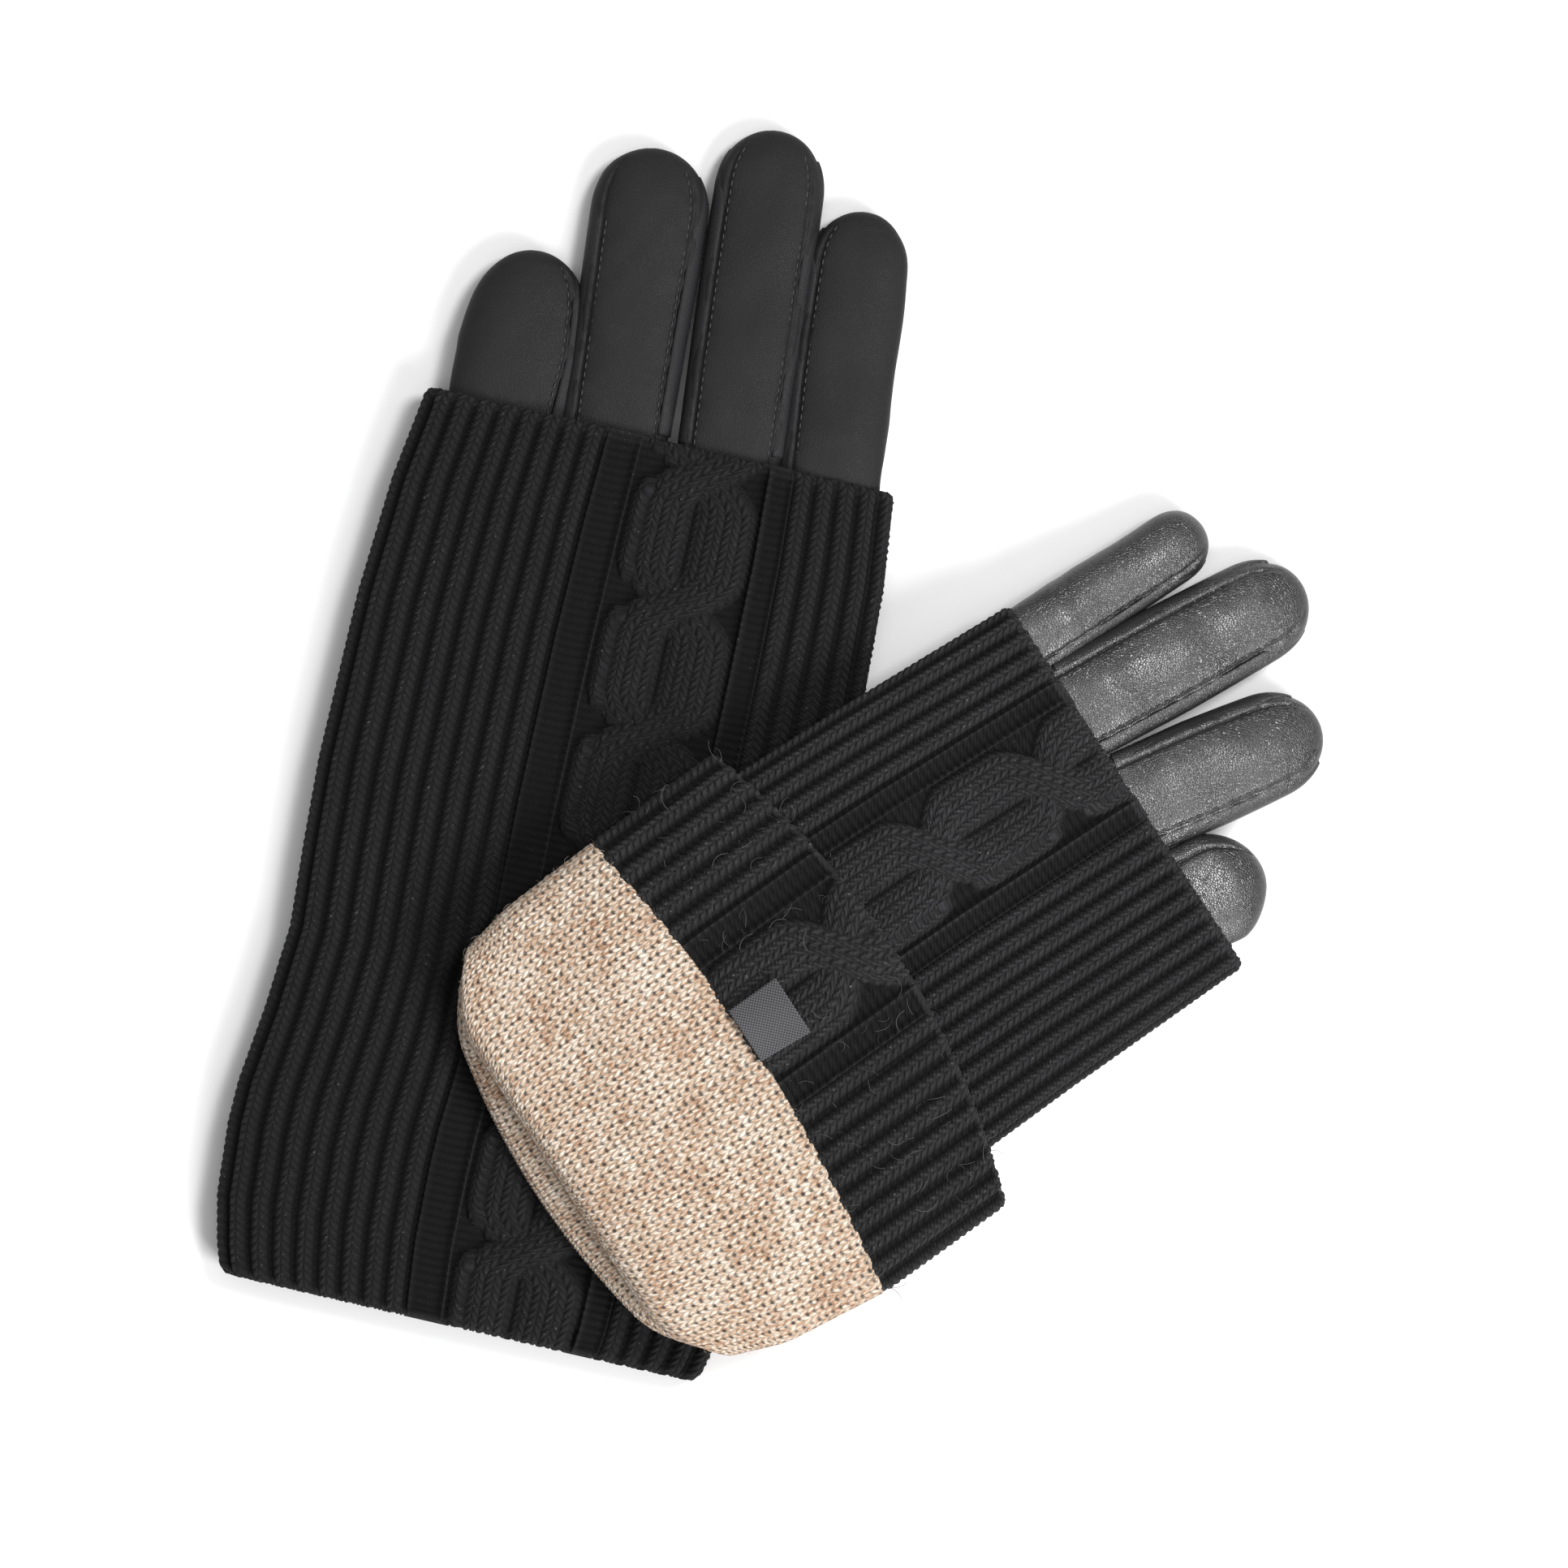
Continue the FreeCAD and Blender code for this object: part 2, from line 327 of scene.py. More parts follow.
def stitch_shape(tree: Tree, place: Socket, slant: float) -> Socket:
    """Height of a knit stitch over its UV cell: two leaning legs, or a bar where it is purled.

    Args:
        tree: The material's node tree.
        place: UV output whose unit is one wale by one course.
        slant: How far each leg leans, in courses.

    Returns:
        Output that is 0 in the gaps and 1 on the yarn's crown.
    """
    parts = node(tree, "ShaderNodeSeparateXYZ", None, {0: place})
    across, along = parts.outputs[0], parts.outputs[1]
    plain = node(tree, "ShaderNodeAttribute", {"attribute_name": "plain"}).outputs["Fac"]
    offset = maths(tree, "ABSOLUTE", maths(tree, "SUBTRACT", maths(tree, "FRACT", across), 0.5))
    arch = maths(tree, "ABSOLUTE", maths(tree, "SINE", maths(tree, "MULTIPLY", offset, FULL_TURN)))
    legs = maths(tree, "POWER", arch, 0.45)
    lean = maths(tree, "MULTIPLY_ADD", offset, slant, along)
    wave = maths(tree, "COSINE", maths(tree, "MULTIPLY", lean, FULL_TURN))
    loop = maths(tree, "POWER", maths(tree, "MULTIPLY_ADD", wave, 0.5, 0.5), 0.45)
    level = maths(tree, "COSINE", maths(tree, "MULTIPLY", along, FULL_TURN))
    bars = maths(tree, "POWER", maths(tree, "MULTIPLY_ADD", level, 0.5, 0.5), 0.7)
    knit = maths(tree, "MULTIPLY", legs, loop)
    return node(tree, "ShaderNodeMix", {"data_type": "FLOAT"}, {0: plain, 2: bars, 3: knit}).outputs[0]


@dataclass(frozen=True)
class WoolKnit:
    """Brushed wool-blend yarn, ring spun and knitted: dull black with a soft haze of fibres."""

    name: str
    dark: str = "#0b0b0c"
    light: str = "#1f1f21"
    fleck: str = "#4d4b4a"

    def make(self) -> bpy.types.Material:
        """Build the material; ply twist and stitches follow the panel's own UV map."""
        made, tree = new_material(self.name, {
            "Roughness": 0.92, "IOR": 1.5, "Specular IOR Level": 0.25, "Sheen Weight": 0.10,
            "Sheen Roughness": 0.5, "Sheen Tint": linear("#8a8a8c")})
        place = pattern_place(tree)
        where = object_place(tree)
        tone = mix_colour(tree, noise(tree, where, 420.0, 3.0), linear(self.dark), linear(self.light))
        rare = remap(tree, noise(tree, where, 1500.0, 1.0), 0.70, 0.80)
        flecked = mix_colour(tree, rare, tone, linear(self.fleck))
        patchy = scaled(tree, flecked, remap(tree, noise(tree, where, 45.0, 2.0), to_low=0.8, to_high=1.2))
        # Ply twist: fine slanting lines along each leg of yarn.
        twist = node(tree, "ShaderNodeTexWave", {"bands_direction": "DIAGONAL"},
                     {"Vector": place, "Scale": 1.3, "Distortion": 2.0, "Detail": 2.0, "Detail Scale": 3.0})
        grain = maths(tree, "MULTIPLY_ADD", noise(tree, where, 2200.0, 3.0), 0.5, twist.outputs["Fac"])
        stitch = stitch_shape(tree, place, 2.0)
        # Painted shade and light: the grooves between ribs and the gaps between stitches are darkened, the
        # yarn's crowns lightened.
        crown = node(tree, "ShaderNodeAttribute", {"attribute_name": "crown"}).outputs["Fac"]
        painted_groove_shade = remap(tree, crown, 0.25, 0.95, 0.22, 1.25)
        shade = maths(tree, "MULTIPLY", remap(tree, stitch, to_low=0.45, to_high=1.2), painted_groove_shade)
        height = maths(tree, "MULTIPLY_ADD", stitch, 2.6, grain)
        feed_shader(tree, {"Base Color": scaled(tree, patchy, shade),
                           "Normal": bump(tree, height, 0.8, 0.00028)})
        return made


@dataclass(frozen=True)
class MelangeJersey:
    """Brushed melange jersey, knitted from mottled yarn: warm beige with cream and tan flecks."""

    name: str
    cream: str = "#dfd3c5"
    beige: str = "#c3ae99"
    tan: str = "#aa866b"
    brown: str = "#7c5f52"
    # Colour of the pin holes: the dark cloth behind, darkened further as painted shade.
    hole_backing_and_shade: str = "#3f3c3a"

    def make(self) -> bpy.types.Material:
        """Build the material; the flecks run in short streaks along the wales."""
        made, tree = new_material(self.name, {
            "Roughness": 0.95, "Specular IOR Level": 0.2, "Sheen Weight": 0.12, "Sheen Roughness": 0.5})
        place = pattern_place(tree)
        where = object_place(tree)
        # One UV unit is one stitch: streaks of mottled yarn are thin across and a stitch or two long.
        streak = node(tree, "ShaderNodeMapping", None, {"Vector": place, "Scale": (3.2, 0.9, 1.0)})
        slub = noise(tree, streak.outputs["Vector"], 1.0, 3.0, 0.6)
        mottle = maths(tree, "MULTIPLY_ADD", noise(tree, place, 0.16, 3.0, 0.6), 0.35, slub)
        ramp = node(tree, "ShaderNodeValToRGB", None, {"Fac": mottle})
        stops = [(0.53, self.cream), (0.67, self.beige), (0.81, self.tan), (0.95, self.brown)]
        for element, (spot, colour) in zip(ramp.color_ramp.elements, (stops[0], stops[-1])):
            element.position = spot
            element.color = linear(colour)
        for spot, colour in stops[1:-1]:
            ramp.color_ramp.elements.new(spot).color = linear(colour)
        stitch = stitch_shape(tree, place, 1.4)
        # Painted shade: the gaps between the stitches' legs are darker, their crowns a little lighter.
        shaded = scaled(tree, ramp.outputs["Color"], remap(tree, stitch, 0.0, 0.7, 0.62, 1.04))
        # Pin holes: where four stitches meet, the dark cloth behind shows through, with painted shade in the
        # hole.
        cell = node(tree, "ShaderNodeTexVoronoi", {"feature": "F1"},
                    {"Vector": place, "Scale": 1.0, "Randomness": 0.18})
        gap = remap(tree, cell.outputs["Distance"], 0.12, 0.34, 0.95, 0.0)
        opening = maths(tree, "MULTIPLY", maths(tree, "MULTIPLY", gap, slub), 1.9, clamp=True)
        height = maths(tree, "MULTIPLY_ADD", stitch, 1.6, noise(tree, where, 1800.0, 4.0))
        feed_shader(tree, {"Base Color": mix_colour(tree, opening, shaded, linear(self.hole_backing_and_shade)),
                           "Normal": bump(tree, height, 0.7, 0.00025)})
        return made


@dataclass(frozen=True)
class Nappa:
    """Drum-dyed nappa leather, lightly finished: fine pebble grain and soft drag creases."""

    name: str
    colour: str
    light: str
    roughness: float
    specular: float
    grain_mm: float = 0.55

    def make(self) -> bpy.types.Material:
        """Build the material; the grain is a cell pattern of about half a millimetre."""
        made, tree = new_material(self.name, {"IOR": 1.5, "Specular IOR Level": self.specular})
        where = object_place(tree)
        cells = node(tree, "ShaderNodeTexVoronoi", {"feature": "DISTANCE_TO_EDGE"},
                     {"Vector": where, "Scale": 1.0 / (self.grain_mm * MM)})
        swell = noise(tree, where, 90.0, 4.0)
        height = maths(tree, "MULTIPLY_ADD", swell, 1.6, remap(tree, cells.outputs["Distance"], 0.0, 0.18))
        feed_shader(tree, {
            "Base Color": mix_colour(tree, swell, linear(self.colour), linear(self.light)),
            "Roughness": remap(tree, swell, 0.3, 0.7, self.roughness - 0.05, self.roughness + 0.07),
            "Normal": bump(tree, height, 0.4, 0.00014)})
        return made


@dataclass(frozen=True)
class SpunThread:
    """Spun polyester thread or a shed fibre, matt."""

    name: str
    colour: str

    def make(self) -> bpy.types.Material:
        """Build the plain material; one stitch or hair is too small for a pattern of its own."""
        return new_material(self.name, {"Base Color": linear(self.colour), "Roughness": 0.7})[0]


@dataclass(frozen=True)
class WovenTape:
    """Plain-woven polyester label tape: mid grey with a fine over-and-under rib."""

    name: str
    dark: str = "#17171a"
    light: str = "#565659"
    pick_mm: float = 0.42

    def make(self) -> bpy.types.Material:
        """Build the material; its UV unit is one millimetre of tape."""
        made, tree = new_material(self.name, {"Roughness": 0.6})
        place = pattern_place(tree)
        weave = node(tree, "ShaderNodeTexChecker", None,
                     {"Vector": place, "Scale": 1.0 / self.pick_mm,
                      "Color1": (1.0, 1.0, 1.0, 1.0), "Color2": (0.0, 0.0, 0.0, 1.0)}).outputs["Fac"]
        worn = remap(tree, noise(tree, place, 3.0, 3.0), to_low=0.5, to_high=1.1)
        share = maths(tree, "MULTIPLY", weave, worn)
        feed_shader(tree, {"Base Color": mix_colour(tree, share, linear(self.dark), linear(self.light)),
                           "Normal": bump(tree, weave, 0.5, 0.0002)})
        return made


def made_by(recipe: type, *values: object) -> bpy.types.Material:
    """Dataclass field that holds the material of a recipe.

    Args:
        recipe: One of the finish classes above.
        values: What its fields are set to, the name first.

    Returns:
        The field, whose material is made together with the set.
    """
    return field(default_factory=lambda: recipe(*values).make())


@dataclass(frozen=True)
class Finishes:
    """All finishes of the pair."""

    knit: bpy.types.Material = made_by(WoolKnit, "Wool knit, brushed black")
    hem: bpy.types.Material = made_by(
        WoolKnit, "Wool knit, brushed black, worn hem", "#131314", "#2e2e2f", "#66625f")
    # Painted light: a lighter copy of the black knit for the upper glove, which is lit more brightly.
    lit_upper_knit: bpy.types.Material = made_by(
        WoolKnit, "Wool knit, brushed black, upper glove", "#151516", "#303032", "#5c5a58")
    jersey: bpy.types.Material = made_by(MelangeJersey, "Melange jersey, brushed")
    left_nappa: bpy.types.Material = made_by(
        Nappa, "Nappa leather, drum dyed, matt", "#1a1a1b", "#202021", 0.55, 0.2)
    right_nappa: bpy.types.Material = made_by(
        Nappa, "Nappa leather, drum dyed, polished", "#161617", "#1e1e1f", 0.33, 1.0)
    left_gusset: bpy.types.Material = made_by(
        Nappa, "Nappa leather strip, matt", "#18181a", "#202022", 0.58, 0.3)
    right_gusset: bpy.types.Material = made_by(
        Nappa, "Nappa leather strip, polished", "#131314", "#191919", 0.38, 0.9)
    thread: bpy.types.Material = made_by(SpunThread, "Polyester thread, spun, grey", "#39393b")
    pale_fibre: bpy.types.Material = made_by(SpunThread, "Wool fibre, shed, pale", "#575452")
    cream_fibre: bpy.types.Material = made_by(SpunThread, "Jersey fibre, shed, cream", "#d8c8b4")
    tape: bpy.types.Material = made_by(WovenTape, "Polyester tape, plain woven")


# ---------------------------------------------------------------- glove frame

@dataclass(frozen=True)
class HandFrame:
    """Places points of one glove: u along the hand, v to its left, w up, in millimetres."""

    side: str
    origin: tuple[float, float]
    angle: float
    bend: float
    slope: float
    softness: float = 8.0

    def place(self, points: Array) -> Array:
        """Turn (u, v, w) points into row frame points, with the fall towards the fingertips.

        Args:
            points: Points, shape (..., 3).

        Returns:
            Row frame points in millimetres.
        """
        u, v, w = points[..., 0], points[..., 1], points[..., 2]
        turn = math.radians(self.angle)
        past = u - self.bend
        drop = self.slope * 0.5 * (past + np.sqrt(past * past + self.softness ** 2))
        x = self.origin[0] + u * math.cos(turn) - v * math.sin(turn)
        y = self.origin[1] + u * math.sin(turn) + v * math.cos(turn)
        return np.stack([x, y, w - drop], -1)

    def metres(self, u: float, v: float, w: float) -> Vector:
        """One (u, v, w) point as a row frame vector in metres."""
        return Vector((self.place(np.array([u, v, w])) * MM).tolist())


LEFT = HandFrame("left", (-26.50, 73.31), 77.0, 0.0, 0.064)
RIGHT = HandFrame("right", (82.10, -7.49), 33.0, -48.0, 0.206)


class Half(Enum):
    """Which half of a flattened tube a panel covers."""

    BACK = 1
    PALM = -1


class Zone(Enum):
    """Stitch zones across a knit panel."""

    RIB = "rib"
    LADDER = "ladder"
    CABLE = "cable"


@dataclass(frozen=True)
class KnitPattern:
    """Ribs, ladders and a crossed cable, laid out across a panel in millimetres."""

    zones: tuple[tuple[Zone, float], ...]
    rib_pitch: float = 5.4
    rib_share: float = 0.80
    wale: float = 4.1
    course: float = 1.9
    rib_depth: float = 1.9
    stitch_depth: float = 0.62
    cable_repeat: float = 31.0
    cable_phase: float = 0.0
    cross_start: float = 0.22
    cross_share: float = 0.56
    strand_reach: float = 0.235
    strand_half: float = 0.245
    strand_height: float = 1.15

    def across(self, x: Array, y: Array) -> tuple[Array, Array, Array, Array]:
        """Relief and stitch coordinates over a panel.

        Args:
            x: Place across the panel in millimetres, from its left fold.
            y: Place along the panel in millimetres.

        Returns:
            Broad relief in millimetres, wale number, course number, and 1 for plain
            stitches or 0 for purl ones.
        """
        made = [np.zeros_like(x), x / self.wale, np.ones_like(x)]
        start = 0.0
        for zone, width in self.zones:
            inside = (x >= start) & (x < start + width)
            local = x - start
            if zone is Zone.RIB:
                phase = (local / self.rib_pitch) % 1.0
                arch = np.sin(math.pi * np.clip(phase / self.rib_share, 0.0, 1.0))
                relief = self.rib_depth * (np.clip(arch, 0.0, 1.0) ** 0.7 - 1.0)
                wale = np.floor(local / self.rib_pitch) * 2.0 + np.minimum(phase / self.rib_share, 2.0)
                plain = np.where(phase < self.rib_share, 1.0, 0.0)
            elif zone is Zone.LADDER:
                relief = -self.rib_depth * np.clip(np.minimum(local, width - local) / 1.2, 0.0, 1.0) ** 0.7
                wale = x / self.wale
                plain = np.zeros_like(x)
            else:
                relief, wale = self.cable(local - width / 2.0, y, width)
                plain = np.where(relief > -0.9 * self.rib_depth, 1.0, 0.0)
            made = [np.where(inside, new, old) for new, old in zip((relief, wale, plain), made)]
            start += width
        return made[0], made[1], y / self.course, made[2]

    def cable(self, x: Array, y: Array, width: float) -> tuple[Array, Array]:
        """Two rope strands that cross at each repeat, the rising one always on top.

        Args:
            x: Place across, from the cable's middle line.
            y: Place along.
            width: Width of the whole cable.

        Returns:
            Relief in millimetres and wale number.
        """
        turn = (y / self.cable_repeat + self.cable_phase) % 1.0
        share = np.clip((turn - self.cross_start) / self.cross_share, 0.0, 1.0)
        swing = share * share * (3.0 - 2.0 * share)
        reach = width * self.strand_reach
        over = np.exp(-((turn - 0.5) / 0.17) ** 2)
        slant = 6.0 * swing * (1.0 - swing)
        ground = -self.rib_depth * 1.2
        best = np.full_like(x, ground)
        number = x / self.wale
        for way in (1.0, -1.0):
            centre = way * reach * (2.0 * swing - 1.0)
            half = width * self.strand_half * (1.0 + 0.12 * slant / 1.5)
            local = (x - centre) / half
            crown = np.clip(1.0 - np.abs(local) ** 2.2, 0.0, 1.0) ** 0.7
            lift = 1.25 * over if way > 0.0 else -0.5 * over
            height = (self.strand_height + lift + self.rib_depth * 1.2) * crown + ground
            height = np.where(np.abs(local) < 1.0, height, ground)
            # Four wales to a strand, each a shallow roll of its own.
            rolls = 0.35 * np.abs(np.sin(math.pi * local * 2.0)) - 0.35
            height = np.where(np.abs(local) < 1.0, height + rolls, height)
            wins = height > best
            best = np.where(wins, height, best)
            number = np.where(wins, local * 2.0 + way * 10.0, number)
        return best, number


@dataclass
class StitchTree:
    """Geometry Nodes tree that raises the legs and bars of every stitch on a knit panel."""

    name: str = "Knit stitches"

    def build(self) -> Tree:
        """Make the tree, with the stitch depth as its named input.

        Returns:
            The node group.
        """
        tree, entry = new_tree(self.name, {"Stitch Depth": 0.00034, "Leg Slant": 2.0})
        live = {}
        for key in ("wale", "course", "plain", "rise"):
            kind = "FLOAT_VECTOR" if key == "rise" else "FLOAT"
            made = node(tree, "GeometryNodeInputNamedAttribute", {"data_type": kind}, {"Name": key})
            live[key] = next(o for o in made.outputs if o.enabled and o.name == "Attribute")
        place = maths(tree, "FRACT", live["wale"])
        # Distance from the middle of the wale, 0 to 0.5, gives the two legs of each V.
        offset = maths(tree, "ABSOLUTE", maths(tree, "SUBTRACT", place, 0.5))
        arch = maths(tree, "ABSOLUTE", maths(tree, "SINE", maths(tree, "MULTIPLY", offset, FULL_TURN)))
        legs = maths(tree, "POWER", arch, 0.6)
        lean = maths(tree, "MULTIPLY", offset, entry.outputs["Leg Slant"])
        turn = maths(tree, "MULTIPLY", maths(tree, "ADD", live["course"], lean), FULL_TURN)
        loop = maths(tree, "MULTIPLY", maths(tree, "ADD", maths(tree, "COSINE", turn), 1.0), 0.5)
        # The first leg of a pulled rib runs smooth and the second one beads up.
        beaded = maths(tree, "ADD", maths(tree, "GREATER_THAN", place, 0.5), 0.35)
        knit = maths(tree, "MULTIPLY", legs, maths(tree, "POWER", loop, beaded))
        bar_turn = maths(tree, "COSINE", maths(tree, "MULTIPLY", live["course"], FULL_TURN))
        bars = maths(tree, "MULTIPLY", maths(tree, "ADD", bar_turn, 1.0), 0.55)
        blend = node(tree, "ShaderNodeMix", {"data_type": "FLOAT"}, {0: live["plain"], 2: bars, 3: knit})
        size = maths(tree, "MULTIPLY", blend.outputs[0], entry.outputs["Stitch Depth"])
        shift = node(tree, "GeometryNodeSetPosition", None,
                     {"Geometry": entry.outputs["Geometry"], "Offset": scaled(tree, live["rise"], size)})
        return close_tree(tree, entry, shift.outputs[0])


def apply_tree(target: bpy.types.Object, tree: bpy.types.NodeTree, values: dict) -> None:
    """Run a Geometry Nodes tree on an object and keep the result as its plain mesh.

    Args:
        target: The object.
        tree: The node group.
        values: Input names and values.
    """
    modifier = target.modifiers.new(tree.name, "NODES")
    modifier.node_group = tree
    for item in tree.interface.items_tree:
        if item.in_out == "INPUT" and item.name in values:
            modifier[item.identifier] = values[item.name]
    target.update_tag()
    graph = bpy.context.evaluated_depsgraph_get()
    graph.update()
    mesh = bpy.data.meshes.new_from_object(target.evaluated_get(graph))
    target.modifiers.remove(modifier)
    old = target.data
    target.data = mesh
    mesh.name = target.name
    bpy.data.meshes.remove(old)


def store(mesh: bpy.types.Mesh, name: str, kind: str, values: Array) -> None:
    """Store one value or vector for each point of a mesh."""
    layer = mesh.attributes.new(name, kind, "POINT")
    key = "vector" if kind == "FLOAT_VECTOR" else "value"
    layer.data.foreach_set(key, np.ascontiguousarray(values, dtype=np.float32).ravel())


# ---------------------------------------------------------------- flattened tubes

# A typical section of a sleeve, in millimetres: half its width and height, and what its sides add.
HALF_WIDTH = 57.0
HALF_HEIGHT = 6.5
SIDE_LENGTH = 9.0


@dataclass(frozen=True)
class Section:
    """Widths and levels of a flattened tube along the hand, in millimetres."""

    stations: tuple[tuple[float, float, float], ...]
    floor: Callable[[Array], Array]
    roof: Callable[[Array], Array]
    squareness: float = 4.6
    bows: tuple[tuple[float, float], ...] = ((-400.0, 0.0), (100.0, 0.0))
    corner: float = 0.0
    corner_span: tuple[float, float] = (-162.0, -138.0)

    def point(self, u: Array, inset: Array, share: Array, half: Half) -> Array:
        """Points (u, v, w) on one half of the tube.

        Args:
            u: Place along the hand.
            inset: Distance inside the outer surface.
            share: 0 at the left fold to 1 at the right fold.
            half: Back or palm half.

        Returns:
            Points of shape (..., 3).
        """
        table = np.array(self.stations)
        right = np.interp(u, table[:, 0], table[:, 1])
        left = np.interp(u, table[:, 0], table[:, 2])
        floor = self.floor(u)
        roof = self.roof(u)
        wide = (left - right) / 2.0 - inset
        high = (roof - floor) / 2.0 - inset
        theta = self.angles(share)
        power = 2.0 / self.squareness
        cosine = np.cos(theta)
        v = (left + right) / 2.0 + wide * np.sign(cosine) * np.abs(cosine) ** power
        w = (floor + roof) / 2.0 + half.value * high * np.abs(np.sin(theta)) ** power
        bow_table = np.array(self.bows)
        bow = np.interp(u, bow_table[:, 0], bow_table[:, 1])
        flat = (v - (left + right) / 2.0) / np.maximum(wide, 1.0)
        first, last = self.corner_span
        near = np.clip((last - u) / (last - first), 0.0, 1.0)
        pull = self.corner * near * np.clip((np.abs(flat) - 0.72) / 0.28, 0.0, 1.0) ** 2
        return np.stack([u + bow * (1.0 - flat * flat) + pull, v, w], -1)

    def angles(self, share: Array) -> Array:
        """Angle on the section for an even share of its length, measured on a typical one."""
        theta = np.linspace(0.0, math.pi, 4001)
        power = 2.0 / self.squareness
        x = HALF_WIDTH * np.sign(np.cos(theta)) * np.abs(np.cos(theta)) ** power
        z = HALF_HEIGHT * np.abs(np.sin(theta)) ** power
        length = np.concatenate([[0.0], np.cumsum(np.hypot(np.diff(x), np.diff(z)))])
        return np.interp(share, length / length[-1], theta)


def path_rows(corners: Sequence[tuple[float, float]],
              spacing: Sequence[float]) -> tuple[Array, Array, Array]:
    """Rows along a path of (u, inset) corners, with their distance along it.

    Args:
        corners: Path corners.
        spacing: Row spacing for each stretch.

    Returns:
        u, inset and distance from the first corner, one value for each row.
    """
    u_rows = [corners[0][0]]
    inset_rows = [corners[0][1]]
    walked = [0.0]
    for (u0, i0), (u1, i1), step in zip(corners, corners[1:], spacing):
        length = math.hypot(u1 - u0, i1 - i0)
        count = max(1, round(length / step))
        start = walked[-1]
        for k in range(1, count + 1):
            share = k / count
            u_rows.append(u0 + share * (u1 - u0))
            inset_rows.append(i0 + share * (i1 - i0))
            walked.append(start + share * length)
    return np.array(u_rows), np.array(inset_rows), np.array(walked)


def lip(u: float, near: float, far: float, ahead: float) -> list[tuple[float, float]]:
    """Corners of a rounded edge from one inset to another.

    Args:
        u: Where the rounding starts.
        near: First inset.
        far: Last inset.
        ahead: +1 when it bulges towards the fingers, -1 towards the cuff.

    Returns:
        Nine corners on a half circle.
    """
    middle = (near + far) / 2.0
    radius = abs(far - near) / 2.0
    way = 1.0 if far > near else -1.0
    made = []
    for k in range(9):
        turn = math.pi * k / 8.0
        made.append((u + ahead * radius * math.sin(turn), middle - way * radius * math.cos(turn)))
    return made


